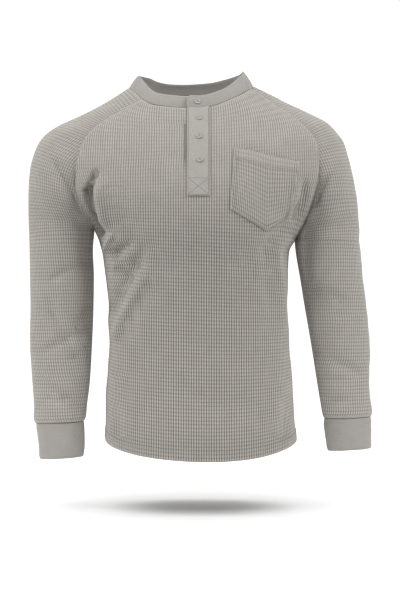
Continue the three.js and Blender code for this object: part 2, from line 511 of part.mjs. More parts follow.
// ---------- things laid on the front ----------
function laidStrip(x0, x1, zTop, zFoot, rows, columns, from, wall) {
  const outer = [], inner = [];
  for (let i = 0; i <= rows; i++) {
    outer.push([]); inner.push([]);
    for (let j = 0; j <= columns; j++) {
      const x = mix(x0, x1, j / columns), z = mix(zFoot, zTop(x), i / rows);
      outer[i].push(trunkLaid(x, z, -1, from + wall));
      inner[i].push(trunkLaid(x, z, -1, from));
    }
  }
  return shell(outer, inner, {});
}
const neckFront = lookup(NECK.front, 'x', 'z');

// pocket outline: top edge, foot edge with its point, by share across
const POCKET = [
  { across: 0, topX: 61.8, topZ: -127.4, footX: 54.6, footZ: -238 },
  { across: 0.25, topX: 92.5, topZ: -132, footX: 87, footZ: -257 },
  { across: 0.5, topX: 123, topZ: -140.5, footX: 119.5, footZ: -276 },
  { across: 0.75, topX: 151, topZ: -146, footX: 141, footZ: -265 },
  { across: 1, topX: 181, topZ: -150, footX: 160.5, footZ: -254.5 },
];
function pocketGeometry() {
  const outer = [], inner = [], COLUMNS = 8, ROWS = 9, at = name => lookup(POCKET, 'across', name);
  const topX = at('topX'), topZ = at('topZ');
  const foot = (t, name) => { const k = Math.min(3, Math.floor(t * 4)); return mix(POCKET[k][name], POCKET[k + 1][name], t * 4 - k); };
  for (let i = 0; i <= ROWS; i++) {
    outer.push([]); inner.push([]);
    for (let j = 0; j <= COLUMNS; j++) {
      const t = j / COLUMNS, h = i / ROWS;
      const x = mix(foot(t, 'footX'), topX(t), h), z = mix(foot(t, 'footZ'), topZ(t), h);
      const gape = 1.2 * Math.sin(Math.PI * t) * ease(0.75, 1, h);
      outer[i].push(trunkLaid(x, z, -1, LAY_GAP + 0.5 + gape + 1.6));
      inner[i].push(trunkLaid(x, z, -1, LAY_GAP + 0.5 + gape));
    }
  }
  return shell(outer, inner, {});
}

// ---------- cuffs ----------
function cuffGeometry(side) {
  const rows = CUFF[side], steps = 5, count = 8, outer = [], inner = [];
  for (let k = 0; k <= steps; k++) {
    const t = (rows.length - 1) * k / steps, at = name => rowCurve(rows, name)(t);
    const seam = new THREE.Vector3(at('ix'), at('yc'), at('iz')), crown = new THREE.Vector3(at('ox'), at('yc'), at('oz'));
    const ring = halfArc(seam, crown, at('deep'), -1, count).concat(halfArc(seam, crown, at('deep'), 1, count).reverse().slice(1));
    const middle = seam.clone().lerp(crown, 0.5), along = crown.clone().sub(seam).normalize();
    outer.push(ring);
    inner.push(ring.map(p => {
      const r = p.clone().sub(middle), a = r.dot(along), half = crown.distanceTo(seam) / 2, deep = at('deep');
      const n = along.clone().multiplyScalar(a / (half * half)).add(new THREE.Vector3(0, (p.y - at('yc')) / (deep * deep), 0)).normalize();
      return p.clone().addScaledVector(n, -CUFF_WALL);
    }));
  }
  return shell(outer, inner, { ring: true, ringRows: steps + 1 });
}

// ---------- buttons ----------
const BUTTONS = [
  { name: 'button_1', x: -4.2, z: -37, on: 'band' }, { name: 'button_2', x: -1.4, z: -69.5, on: 'placket' },
  { name: 'button_3', x: -1.4, z: -105, on: 'placket' }, { name: 'button_4', x: -0.6, z: -149, on: 'placket' },
];
function buttonGeometry() {
  const { radius, thickness, bevel, hole, holeApart } = BUTTON, shape = new THREE.Shape();
  const ring = (x, y, r, count, path) => {
    for (let i = 0; i < count; i++) {
      const a = 2 * Math.PI * i / count;
      if (i === 0) path.moveTo(x + r * Math.cos(a), y + r * Math.sin(a)); else path.lineTo(x + r * Math.cos(a), y + r * Math.sin(a));
    }
    path.closePath();
    return path;
  };
  ring(0, 0, radius - bevel, 18, shape);
  for (const s of [-1, 1]) shape.holes.push(ring(s * holeApart / 2 * 0.85, -s * holeApart / 2 * 0.53, hole, 6, new THREE.Path()));
  const g = new THREE.ExtrudeGeometry(shape, { depth: thickness - 2 * bevel, bevelEnabled: true, bevelThickness: bevel, bevelSize: bevel, bevelSegments: 1, steps: 1 });
  g.deleteAttribute('normal'); g.deleteAttribute('uv');
  g.translate(0, 0, bevel);
  return mergeVertices(g, 1e-4);
}

// ---------- assembly ----------
finishPieces();
const cloth = { color: 0x9f9b94, roughness: 0.95, metalness: 0 };
const rib = { color: 0xb1ada7, roughness: 0.92, metalness: 0 };
const shellHard = { color: 0xb4b0a9, roughness: 0.4, metalness: 0 };
const group = new THREE.Group();
function add(name, geometry, look) {
  const mesh = new THREE.Mesh(geometry, new THREE.MeshStandardMaterial(look));
  mesh.name = name;
  group.add(mesh);
  return mesh;
}
for (const name of ['front', 'back', 'sleeve_left', 'sleeve_right']) add(name, wallGeometry(pieces[name]), cloth);
add('neckband', neckband(), rib);
add('placket', laidStrip(PLACKET.left, PLACKET.right, x => neckFront(x) - 1.2, PLACKET.foot, PLACKET.rows, PLACKET.columns, LAY_GAP, WALL), rib);
add('placket_under', laidStrip(PLACKET.left + 4, PLACKET.right + 5, x => neckFront(x) - 2.5, PLACKET.foot + 6, PLACKET.rows, PLACKET.columns, -(2 * WALL + LAY_GAP + 0.3), WALL), rib);
add('pocket', pocketGeometry(), cloth);
add('cuff_right', cuffGeometry('left'), rib);
add('cuff_left', cuffGeometry('right'), rib);
for (const b of BUTTONS) {
  const mesh = add(b.name, buttonGeometry(), shellHard);
  if (b.on === 'placket') {
    const n = trunkNormal(b.x, b.z, -1);
    mesh.position.copy(trunkLaid(b.x, b.z, -1, LAY_GAP + WALL + 0.35));
    mesh.quaternion.setFromUnitVectors(new THREE.Vector3(0, 0, 1), n);
  } else {
    const p = atFront(b.x), { away, up } = bandSection(p), side = new THREE.Vector3(-away.y, away.x, 0).normalize();
    const n = up.clone().cross(side).normalize();
    if (n.dot(away) < 0) n.negate();
    mesh.position.copy(p.clone().addScaledVector(up, 0.52).addScaledVector(n, 1.1 + 0.5 + 0.6));
    mesh.quaternion.setFromUnitVectors(new THREE.Vector3(0, 0, 1), n);
  }
}

export default group;
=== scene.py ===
# Looks of the waffle-knit henley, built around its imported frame.
# Sizes are worked out in millimetres, then written to the meshes in metres. +Z up, the front faces -Y.
import math

import bpy
import numpy as np
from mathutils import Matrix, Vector


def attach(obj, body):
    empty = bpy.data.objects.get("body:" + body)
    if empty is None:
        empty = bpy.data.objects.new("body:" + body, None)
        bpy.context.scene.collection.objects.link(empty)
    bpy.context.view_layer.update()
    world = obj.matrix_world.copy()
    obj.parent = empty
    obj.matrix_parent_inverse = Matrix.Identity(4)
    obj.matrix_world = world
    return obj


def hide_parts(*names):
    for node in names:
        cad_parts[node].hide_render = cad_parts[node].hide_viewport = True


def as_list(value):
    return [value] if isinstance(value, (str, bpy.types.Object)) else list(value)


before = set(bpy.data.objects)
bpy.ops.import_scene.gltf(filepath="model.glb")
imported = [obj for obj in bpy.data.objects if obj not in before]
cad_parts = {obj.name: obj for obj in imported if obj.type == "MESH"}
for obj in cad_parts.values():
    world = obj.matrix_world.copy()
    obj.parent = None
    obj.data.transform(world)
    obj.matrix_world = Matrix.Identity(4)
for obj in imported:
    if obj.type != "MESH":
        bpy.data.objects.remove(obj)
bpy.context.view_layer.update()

# ---------------------------------------------------------------- tables of the form, as in the part's source
def table(names, rows):
    names = names.split()
    return [dict(zip(names, r)) for r in rows]


DEPTH = table("z front back", [
    (-740, -119, 107),
    (-640, -117, 105),
    (-560, -113, 99),
    (-480, -110, 95),
    (-400, -112, 95),
    (-330, -119, 101),
    (-270, -127, 109),
    (-220, -129, 115),
    (-175, -124, 117),
    (-130, -113, 115),
    (-90, -99, 109),
    (-50, -80, 97),
    (-20, -60, 82),
    (0, -46, 69),
    (14, -36, 56),
])

BAND = table("turn rise lean", [
    (-180, 24, 18),
    (-150, 21.5, 18),
    (-120, 23, 13),
    (-90, 25.5, 9),
    (-60, 24, 13),
    (-30, 23.5, 18),
    (-8, 27, 20),
    (12, 30, 19),
    (35, 30.5, 15),
    (50, 27.5, 12),
    (66, 22.5, 10),
    (90, 19.5, 9),
    (115, 21, 10),
    (131, 24.5, 12),
    (144, 27.5, 15),
    (160, 26.5, 17),
    (180, 24, 18),
])

FOLDS = table("on face x0 z0 x1 z1 wide high", [
    ("trunk", -1, -190, -170, -204, -206, 7, -8),
    ("trunk", -1, -204, -206, -197, -248, 7, -11),
    ("trunk", -1, -196, -252, -184, -276, 7, -7),
    ("trunk", -1, -184, -190, -180, -252, 12, 6),
    ("trunk", -1, -135, -262, -60, -350, 15, -4),
    ("trunk", -1, -160, -318, -96, -352, 9, -5),
    ("trunk", -1, -164, -345, -110, -372, 9, -4),
    ("trunk", -1, 176, -240, 138, -288, 11, -5),
    ("trunk", -1, 166, -266, 70, -340, 13, -4),
    ("trunk", -1, 158, -300, 110, -352, 10, 3.5),
    ("trunk", -1, -60, -560, 60, -600, 26, -3),
    ("trunk", 1, -170, -232, -96, -300, 14, -6),
    ("trunk", 1, 160, -246, 84, -318, 14, -6),
    ("trunk", 1, -120, -372, 40, -352, 16, -5),
    ("trunk", 1, -40, -412, 120, -396, 16, -4),
    ("arm", -1, -215, -330, -270, -362, 9, -4),
    ("arm", -1, -212, -455, -290, -500, 11, -4.5),
    ("arm", -1, -300, -555, -228, -598, 10, -4),
    ("arm", -1, 200, -372, 262, -402, 9, -4),
    ("arm", -1, 222, -500, 296, -540, 11, -4.5),
    ("arm", 1, -212, -440, -300, -470, 11, -5),
    ("arm", 1, 208, -452, 300, -486, 11, -5),
    ("arm", 1, -220, -330, -286, -352, 11, -4),
    ("arm", 1, 196, -344, 272, -362, 11, -4),
])

POCKET = table("across topX topZ footX footZ", [
    (0, 61.8, -127.4, 54.6, -238),
    (0.25, 92.5, -132, 87, -257),
    (0.5, 123, -140.5, 119.5, -276),
    (0.75, 151, -146, 141, -265),
    (1, 181, -150, 160.5, -254.5),
])

SIDES = {
  "left": table("z x", [
    (-670, -180),
    (-657, -179.7),
    (-623, -178.4),
    (-578, -178.8),
    (-532, -174.6),
    (-486, -171.8),
    (-452, -173.5),
    (-407, -173.8),
    (-372, -177.7),
    (-338, -182),
    (-315, -185.2),
    (-293, -190.6),
    (-282, -195),
    (-271, -201),
]),
  "right": table("z x", [
    (-670, 183.5),
    (-657, 182.6),
    (-623, 178.8),
    (-555, 175.4),
    (-509, 170.8),
    (-464, 168.9),
    (-418, 164.9),
    (-384, 166.8),
    (-338, 167.6),
    (-315, 169.3),
    (-304, 172.1),
    (-291, 180.5),
]),
}

RAGLAN = {
  "left": table("fx fy fz tx ty tz bx by bz swell", [
    (-201, 4, -271, -324, 4, -277, -201, 4, -271, 70),
    (-204, -32, -258, -326, 5, -254, -206, 46, -256, 34),
    (-214, -53, -241, -327, 5, -226, -219, 73, -236, 22),
    (-226, -69, -214, -326, 6, -188, -233, 90, -203, 14),
    (-231, -75, -178, -320, 8, -142, -238, 95, -165, 8),
    (-224, -77, -138, -303, 9, -101, -231, 95, -127, 1),
    (-210, -68, -101, -273, 10, -75, -214, 89, -90, 0.3),
    (-184, -61, -74, -223, 10, -51, -187, 79, -56, -1),
    (-150, -55, -53, -172, 9, -23, -152, 63, -27, -4),
    (-108, -50, -29, -135.5, 8, 0, -112, 44, -3, -12),
]),
  "right": table("fx fy fz tx ty tz bx by bz swell", [
    (180.5, 4, -291, 304, 6, -292, 180.5, 4, -291, 70),
    (186.5, -31, -275, 303, 7, -264, 188, 45, -272, 33),
    (200, -51, -250, 300, 8, -234, 204, 75, -243, 21),
    (217, -68, -200, 295.5, 9, -194, 222, 92, -200, 12),
    (220, -73, -161, 286, 10, -148, 226, 97, -160, 6),
    (216, -69, -118, 271, 11, -100, 219, 96, -122, 1),
    (202, -58, -89, 243, 12, -66, 203, 90, -86, 0.3),
    (174, -46, -62, 205, 12, -46, 176, 80, -54, -1),
    (140, -30, -36, 161, 11, -27, 138, 65, -24, -2),
    (100.5, -13, -3, 101.5, 10, 4, 90, 46, 0, -4),
]),
}

ARM = {
  "left": table("ix iz ox oz yc deep", [
    (-201, -271, -324, -277, 4, 70),
    (-204, -308, -323, -308, 3, 68),
    (-202, -355, -322.6, -355, 1, 64),
    (-202.5, -422, -322, -425, -3, 57),
    (-204.5, -488, -321, -490, -8, 50),
    (-208, -555, -317, -557, -14, 43),
    (-212.5, -596, -313.5, -598, -20, 38),
    (-214.5, -620, -313, -624, -23, 35),
    (-217.5, -629, -310.5, -633, -24, 32),
]),
  "right": table("ix iz ox oz yc deep", [
    (180.5, -291, 304, -292, 6, 70),
    (183.5, -320, 307, -320, 6, 68),
    (190.5, -361, 310, -361, 5, 64),
    (199.5, -418, 316.5, -418, 3, 57),
    (211, -486, 321.5, -486, 0, 50),
    (221.5, -555, 321, -553, -5, 43),
    (227.5, -594, 324, -592, -9, 38),
    (231, -615, 326.5, -613, -11, 35),
    (233.5, -624.5, 324.5, -622.5, -12, 32),
]),
}

CUFF = {
  "left": table("ix iz ox oz yc deep", [
    (-218.3, -629.6, -309.5, -633.6, -24, 31),
    (-217.6, -652, -305, -656, -26, 30),
    (-217, -676, -302, -681, -28, 28),
    (-218, -695.2, -300.8, -700, -30, 26),
]),
  "right": table("ix iz ox oz yc deep", [
    (234.2, -625.1, 323, -623.1, -12, 31),
    (236, -647, 322.2, -643, -14, 30),
    (238.6, -670, 322.6, -665, -16, 28),
    (240.6, -686, 322.8, -680.6, -18, 26),
]),
}

NECK = {
  "front": table("x z", [
    (-108, -29),
    (-101, -33.5),
    (-89, -40),
    (-73, -44.3),
    (-50, -48),
    (-26, -49.6),
    (-2, -50.8),
    (17.5, -47.5),
    (39, -40),
    (59, -30.5),
    (78, -18.5),
    (93, -7.5),
    (100.5, -3),
]),
  "back": table("x z", [
    (-112, -3),
    (-85, -5),
    (-45, -4),
    (-12, -3),
    (30, -3),
    (65, -2),
    (90, 0),
]),
}

# ---------------------------------------------------------------- driving sizes
CENTRE_X, SIDE_Y = -2.0, 4.0
POWER = {-1: 2.35, 1: 2.5}
HEM_DIP = {-1: 36.0, 1: 40.0}
HEM_ROUND = {"left": 0.36, "right": 0.55}
HEM_Z = {"left": -657.0, "right": -664.0}
SLIT = {"left": -17.0, "right": 11.0, "foot": -205.0}
PLACKET = {"left": -23.5, "right": 17.5, "foot": -215.0}
BAND_OVERLAP = {"under": 17.0, "tab": -24.5, "fade": 34.0}
NECK_CENTRE = {"x": -17.0, "y": -2.0}
LAY_GAP, WALL, RIB_WALL, CUFF_WALL = 0.7, 1.8, 2.0, 2.4
RIB, COURSE = 4.62, 6.75          # waffle cell, across and along
DA, DB = RIB / 3, COURSE / 3      # lattice steps
SEED = 7

# finer folds that only the looks carry: troughs (negative) and ridges
# a crease is a line of points seen from the front, with its width on the left and right of the line's run, and its height
CREASES = [
    ("trunk", -1, [(-175.5, -187.1), (-182.8, -209.1), (-181.0, -234.6), (-173.6, -256.6), (-162.7, -274.9)], 6.4, 14.6, 3, 18.3, 14.6),
    ("trunk", -1, [(-179.5, -314.9), (-168.5, -294.7), (-152.0, -276.4)], 6.41, 5.49, 6.5, 7.33, 14.7),
    ("trunk", -1, [(-166.3, -322.4), (-144.4, -309.6), (-117.0, -293.1)], 8.41, 10.1, -8.5, 12.8, 21.9),
    ("trunk", -1, [(-170.0, -351.6), (-155.4, -337.0), (-127.9, -322.4)], 7.31, 7.31, 4.5, 11, 29.2),
    ("trunk", -1, [(-167.8, -435.6), (-149.6, -399.2), (-127.7, -355.4), (-102.1, -315.2), (-65.7, -286.1)], 13.7, 11.9, -8.5, 16.4, 83.9),
    ("trunk", -1, [(-164.2, -486.7), (-142.3, -435.6), (-113.1, -380.9), (-83.9, -333.5)], 9.12, 8.21, 6.5, 25.5, 32.8),
    ("trunk", -1, [(-142.0, -493.8), (-109.2, -417.4), (-76.4, -359.1)], 12.7, 12.7, -3, 29.1, 36.4),
    ("trunk", -1, [(-181.0, -201.7), (-157.2, -196.3), (-131.6, -205.4)], 3.29, 3.29, -1.3, 9.14, 18.3),
    ("trunk", -1, [(-181.0, -220.0), (-153.5, -216.4), (-127.9, -227.3)], 3.29, 3.29, -1.4, 9.14, 18.3),
    ("trunk", -1, [(-175.5, -240.1), (-149.9, -236.5), (-127.9, -245.6)], 3.29, 3.29, -1.4, 9.14, 18.3),
    ("trunk", -1, [(-164.5, -337.0), (-138.9, -333.3), (-113.3, -344.3)], 3.11, 3.11, -1.1, 7.31, 14.6),
    ("trunk", -1, [(-164.5, -360.8), (-142.6, -358.9), (-120.6, -368.1)], 3.11, 3.11, -1.1, 7.31, 14.6),
    ("trunk", -1, [(-168.2, -541.7), (-146.2, -538.1), (-117.0, -545.4)], 5.48, 5.48, -2.2, 9.14, 18.3),
    ("trunk", -1, [(191.9, -168.8), (190.1, -212.7), (182.8, -245.6), (171.8, -274.9)], 9.14, 7.31, -8, 29.2, 21.9),
    ("trunk", -1, [(204.2, -193.1), (200.5, -226.2), (189.4, -259.3), (176.6, -285.1)], 5.52, 5.52, 3, 22.1, 14.7),
    ("trunk", -1, [(171.1, -177.1), (167.5, -220.8), (156.5, -260.8)], 9.1, 7.28, 2.5, 25.5, 29.1),
    ("trunk", -1, [(171.8, -300.4), (151.7, -315.1), (131.6, -296.8), (117.0, -285.8)], 7.31, 7.31, -2.5, 14.6, 18.3),
    ("trunk", -1, [(139.8, -277.7), (143.5, -332.9), (152.7, -402.8), (160.0, -483.7)], 9.2, 9.2, 6, 25.7, 62.5),
    ("trunk", -1, [(116.7, -289.7), (120.4, -366.3), (131.3, -464.8)], 10.9, 10.9, -3.2, 29.2, 62),
    ("trunk", -1, [(-160.8, -578.3), (-149.9, -658.7)], 16.5, 12.8, -5, 36.6, 7.31),
    ("trunk", -1, [(164.5, -563.6), (159.0, -658.7)], 12.8, 14.6, -6, 36.6, 7.31),
    ("arm", -1, [(-274.5, -135.8), (-252.2, -176.6), (-229.9, -213.7), (-211.4, -247.0)], 5.56, 6.49, -5, 26, 14.8),
    ("arm", -1, [(-255.9, -128.3), (-237.4, -165.4), (-218.8, -198.8)], 9.27, 7.42, 1.6, 22.3, 18.5),
    ("arm", -1, [(-274.5, -176.6), (-259.6, -209.9), (-237.4, -258.2), (-222.5, -302.7)], 9.27, 9.27, 3, 26, 37.1),
    ("arm", -1, [(-293.0, -388.0), (-270.7, -436.2), (-241.1, -495.5), (-218.8, -532.6)], 11.1, 9.27, -4.5, 44.5, 48.2),
    ("arm", -1, [(-270.7, -395.4), (-248.5, -436.2), (-222.5, -477.0)], 7.42, 9.27, 4, 33.4, 22.3),
    ("arm", -1, [(-201.9, -402.8), (-224.4, -436.5), (-231.8, -473.8)], 7.48, 7.48, -5, 11.2, 22.4),
    ("arm", -1, [(-205.7, -485.1), (-224.4, -503.8), (-254.3, -518.7)], 5.61, 5.61, -4.5, 11.2, 26.2),
    ("arm", -1, [(-301.6, -581.6), (-268.1, -590.9), (-227.2, -581.6)], 6.52, 7.45, -3.5, 22.3, 22.3),
    ("arm", -1, [(244.8, -165.4), (226.2, -195.1), (209.5, -232.2)], 5.56, 5.56, -6, 26, 14.8),
    ("arm", -1, [(263.3, -184.0), (248.5, -224.8), (226.2, -276.7)], 11.1, 11.1, 2.5, 29.7, 29.7),
    ("arm", -1, [(203.0, -369.3), (219.7, -399.1), (245.8, -417.7)], 14.9, 13, -8, 16.8, 41),
    ("arm", -1, [(275.6, -380.5), (253.2, -425.1), (219.7, -492.2)], 10.2, 9.31, -3.6, 41, 33.5),
    ("arm", -1, [(219.7, -540.6), (249.5, -553.6), (283.0, -546.2)], 7.45, 7.45, -3, 18.6, 26.1),
    ("arm", -1, [(227.2, -589.0), (257.0, -592.7), (290.5, -585.3)], 6.52, 7.45, -3, 18.6, 26.1),
    ("trunk", 1, [(-181.4, -264.7), (-142.0, -308.1), (-82.8, -339.7)], 9.86, 9.86, -5, 11.8, 31.6),
    ("trunk", 1, [(181.4, -268.7), (138.1, -316.0), (78.9, -343.6)], 9.86, 9.86, -5, 11.8, 31.6),
    ("trunk", 1, [(-165.7, -402.8), (-98.6, -375.2), (-7.9, -387.0), (78.9, -371.2)], 15.8, 15.8, -4, 31.6, 47.3),
    ("trunk", 1, [(-78.9, -462.0), (19.7, -446.2), (134.1, -469.9)], 15.8, 15.8, -3.5, 31.6, 47.3),
    ("trunk", 1, [(-7.9, -66.9), (-4.0, -165.7), (-7.9, -284.2)], 27.7, 27.7, -4, 59.3, 79),
    ("arm", 1, [(-301.1, -402.8), (-270.3, -433.7), (-227.8, -445.3)], 9.65, 9.65, -5, 27, 27),
    ("arm", 1, [(293.4, -395.1), (262.5, -429.8), (220.1, -441.4)], 9.65, 9.65, -5, 27, 27),
]

# lines beside the armpits where body and sleeve sink back together: points, widths left and right, depth, fades
PUSHES = [
    ([(-179.5, -170.2), (-192.3, -195.8), (-196.9, -217.8), (-192.3, -239.8), (-185.9, -261.8), (-175.8, -285.6)], 6.59, 13.7, 17, 40.3, 12.8),
    ([(-212.3, -238.9), (-210.4, -332.0), (-210.4, -402.8), (-210.4, -477.3)], 11.2, 14, 12, 29.8, 48.4),
    ([(226.2, -176.6), (211.4, -213.7), (198.4, -247.0), (183.6, -280.4), (178.0, -302.7)], 4.64, 6.49, 7, 26, 11.1),
    ([(203.0, -238.9), (199.2, -283.6), (201.1, -332.0), (206.7, -387.9)], 9.31, 9.31, 11, 26.1, 33.5),
]
# creases of one panel alone, which what lies on it doesn't follow
OWN_CREASES = {"front": [("trunk", -1, [(-26.5, -66), (-26, -130), (-25, -182)], 3.2, 3.4, -3.2, 24, 50)]}


# ---------------------------------------------------------------- helpers
def ease(a, b, v):
    t = np.clip((np.asarray(v, float) - a) / (b - a), 0, 1)
    return t * t * (3 - 2 * t)


def mix(a, b, t):
    return a + (b - a) * t


def lookup(rows, key, name):
    k = np.array([r[key] for r in rows], float)
    v = np.array([r[name] for r in rows], float)
    m = np.empty_like(v)
    m[0] = (v[1] - v[0]) / (k[1] - k[0])
    m[-1] = (v[-1] - v[-2]) / (k[-1] - k[-2])
    m[1:-1] = (v[2:] - v[:-2]) / (k[2:] - k[:-2])

    def at(x):
        x = np.clip(np.asarray(x, float), k[0], k[-1])
        i = np.clip(np.searchsorted(k, x, side="right") - 1, 0, len(k) - 2)
        h = k[i + 1] - k[i]
        t = (x - k[i]) / h
        t2, t3 = t * t, t * t * t
        return (v[i] * (2 * t3 - 3 * t2 + 1) + v[i + 1] * (3 * t2 - 2 * t3)
                + m[i] * h * (t3 - 2 * t2 + t) + m[i + 1] * h * (t3 - t2))
    return at


def row_curve(rows, name):
    return lookup([{"i": i, "v": r[name]} for i, r in enumerate(rows)], "i", "v")


def unit(v):
    return v / np.maximum(np.linalg.norm(v, axis=-1, keepdims=True), 1e-9)


depth_at = {-1: lookup(DEPTH, "z", "front"), 1: lookup(DEPTH, "z", "back")}
side_x = {s: lookup(SIDES[s], "z", "x") for s in SIDES}
seam = {s: {n: row_curve(RAGLAN[s], n) for n in RAGLAN[s][0]} for s in RAGLAN}
TOP = len(RAGLAN["left"]) - 1
neck_z = {-1: lookup(NECK["front"], "x", "z"), 1: lookup(NECK["back"], "x", "z")}
AXES = {-1: ("fx", "fy", "fz"), 1: ("bx", "by", "bz")}


def make_width(side, face):
    sx, sy, sz = AXES[face]
    t = np.linspace(0, TOP, 61)
    z = seam[side][sz](t)
    share = np.clip((seam[side][sy](t) - SIDE_Y) / (depth_at[face](z) - SIDE_Y), 0, 0.97)
    w = np.abs(seam[side][sx](t) - CENTRE_X) / (1 - share ** POWER[face]) ** (1 / POWER[face])
    above = lookup([{"z": a, "w": b} for a, b in zip(z, w)], "z", "w")

    def at(q):
        return np.where(q <= z[0], np.abs(side_x[side](q) - CENTRE_X), above(q))
    return at


width = {(s, f): make_width(s, f) for s in ("left", "right") for f in (-1, 1)}


def trunk_y(x, z, face):
    x, z = np.broadcast_arrays(np.asarray(x, float), np.asarray(z, float))
    w = np.where(x < CENTRE_X, width["left", face](z), width["right", face](z))
    share = np.clip(np.abs(x - CENTRE_X) / w, 0, 1)
    return SIDE_Y + (depth_at[face](z) - SIDE_Y) * np.maximum(0, 1 - share ** POWER[face]) ** (1 / POWER[face])


def line_distance(line, p):
    """Distance to a line of x, z points seen from the front, the side it lies on, and how far along."""
    line = np.array(line, float)
    seg = np.diff(line, axis=0)
    long = np.linalg.norm(seg, axis=1)
    start = np.concatenate([[0], np.cumsum(long)])
    best = np.full(p.shape[:-1], 1e9)
    sign, run = np.zeros_like(best), np.zeros_like(best)
    for i in range(len(seg)):
        rx, rz = p[..., 0] - line[i, 0], p[..., 2] - line[i, 1]
        t = np.clip((rx * seg[i, 0] + rz * seg[i, 1]) / long[i] ** 2, 0, 1)
        d = np.hypot(rx - t * seg[i, 0], rz - t * seg[i, 1])
        near = d < best
        best = np.where(near, d, best)
        sign = np.where(near, seg[i, 0] * rz - seg[i, 1] * rx, sign)
        run = np.where(near, start[i] + t * long[i], run)
    return best, sign, run, start[-1]


def pushed(p):
    """Where the cloth sinks back beside the armpits, on the body and the sleeve alike, so that their seams stay together."""
    q = p.copy()
    for line, left, right, deep, fade0, fade1 in PUSHES:
        best, sign, run, total = line_distance(line, p)
        taper = ease(-0.01, fade0, run) * ease(-0.01, fade1, total - run)
        q[..., 1] += ease(25, -35, p[..., 1]) * taper * deep * np.exp(-np.minimum(best / np.where(sign > 0, left, right), 5) ** 2)
    return q


def crease_height(on, p, n, creases=None):
    total = np.zeros(p.shape[:-1])
    for c_on, face, line, left, right, high, fade0, fade1 in (CREASES if creases is None else creases):
        if c_on != on:
            continue
        best, sign, run, total_run = line_distance(line, p)
        wide = np.where(sign > 0, left, right)
        taper = ease(-0.01, fade0, run) if fade0 > 0 else 1.0
        taper = taper * (ease(-0.01, fade1, total_run - run) if fade1 > 0 else 1.0)
        facing = ease(-0.05, 0.45, n[..., 1] * face)
        total += facing * taper * high * np.exp(-np.minimum(best / wide, 5) ** 2)
    return total


def fold_height(on, p, n, lists):
    total = crease_height(on, p, n)
    for rows in lists:
        for f in rows:
            if f["on"] != on:
                continue
            facing = ease(-0.05, 0.45, n[..., 1] * f["face"])
            dx, dz = f["x1"] - f["x0"], f["z1"] - f["z0"]
            rx, rz = p[..., 0] - f["x0"], p[..., 2] - f["z0"]
            t = np.clip((rx * dx + rz * dz) / (dx * dx + dz * dz), 0, 1)
            d = np.hypot(rx - t * dx, rz - t * dz) / f["wide"]
            total += facing * f["high"] * np.exp(-np.minimum(d, 5) ** 2)
    return total


def wander(p, scale, seed, octaves=2):
    """Smooth unevenness from a few crossed waves, about -1 to 1."""
    rng = np.random.default_rng(seed)
    out, amp = np.zeros(p.shape[:-1]), 1.0
    for o in range(octaves):
        for _ in range(4):
            d = rng.normal(size=3)
            d /= np.linalg.norm(d)
            k = 2 * math.pi / (scale * rng.uniform(0.7, 1.5))
            out += amp * 0.35 * np.sin((p @ d) * k + rng.uniform(0, 6.28))
        amp, scale = amp * 0.5, scale * 0.5
    return out


def grid_normals(p, outward):
    du, dv = np.gradient(p, axis=1), np.gradient(p, axis=0)
    n = unit(np.cross(du, dv))
    return n * outward


# ---------------------------------------------------------------- smooth forms, one grid of points per piece
SAMPLES = 260


def panel_rows(face, knots):
    """Rows of a body panel at the given knots: 0..1 from hem to armpit, 1..1+TOP up the raglan seams."""
    sx, sy, sz = AXES[face]
    u = np.linspace(-1, 1, SAMPLES + 1)
    out = np.empty((len(knots), SAMPLES + 1, 3))
    for r, k in enumerate(knots):
        f, t = min(1.0, k), max(0.0, k - 1)
        edge = {}
        for s in ("left", "right"):
            if k > 1:
                edge[s] = np.array([seam[s][c](t) for c in (sx, sy, sz)], float)
            else:
                z = mix(HEM_Z[s], float(seam[s]["fz"](0)), f)
                edge[s] = np.array([float(side_x[s](z)), SIDE_Y, z])
        end = np.where(u < 0, edge["left"][0], edge["right"][0])
        x = CENTRE_X + (end - CENTRE_X) * np.sin(np.abs(u) * math.pi / 2) ** (2 / POWER[face])
        across = (x - edge["left"][0]) / (edge["right"][0] - edge["left"][0])
        z = mix(edge["left"][2], edge["right"][2], across) - HEM_DIP[face] * (1 - f) ** 2.2 \
            * np.maximum(0, np.cos((across - 0.5) * math.pi)) ** mix(HEM_ROUND["left"], HEM_ROUND["right"], np.clip(across, 0, 1))
        if k > 1:
            tl, tr = seam["left"], seam["right"]
            z = z + (t / TOP) ** 2.4 * (neck_z[face](mix(tl[sx](TOP), tr[sx](TOP), across)) - mix(tl[sz](TOP), tr[sz](TOP), across))
        y = trunk_y(x, z, face)
        out[r] = np.stack([x, y, z], -1)
        out[r, 0], out[r, -1] = edge["left"], edge["right"]
    return out


def half_arc(start, crown, deep, face, count, flat):
    across = np.array([crown[0] - start[0], crown[2] - start[2]])
    long = np.hypot(*across)
    across = across / long
    share = min(1.0, abs(start[1] - crown[1]) / deep)
    q = (-1 if flat else 1) * math.sqrt(1 - share * share)
    a = long / (1 + q)
    turn = math.atan2(share, -q) * (1 - np.linspace(0, 1, count + 1))
    run = long - a + a * np.cos(turn)
    p = np.stack([start[0] + across[0] * run, crown[1] + face * deep * np.sin(turn), start[2] + across[1] * run], -1)
    p[0] = start
    return p


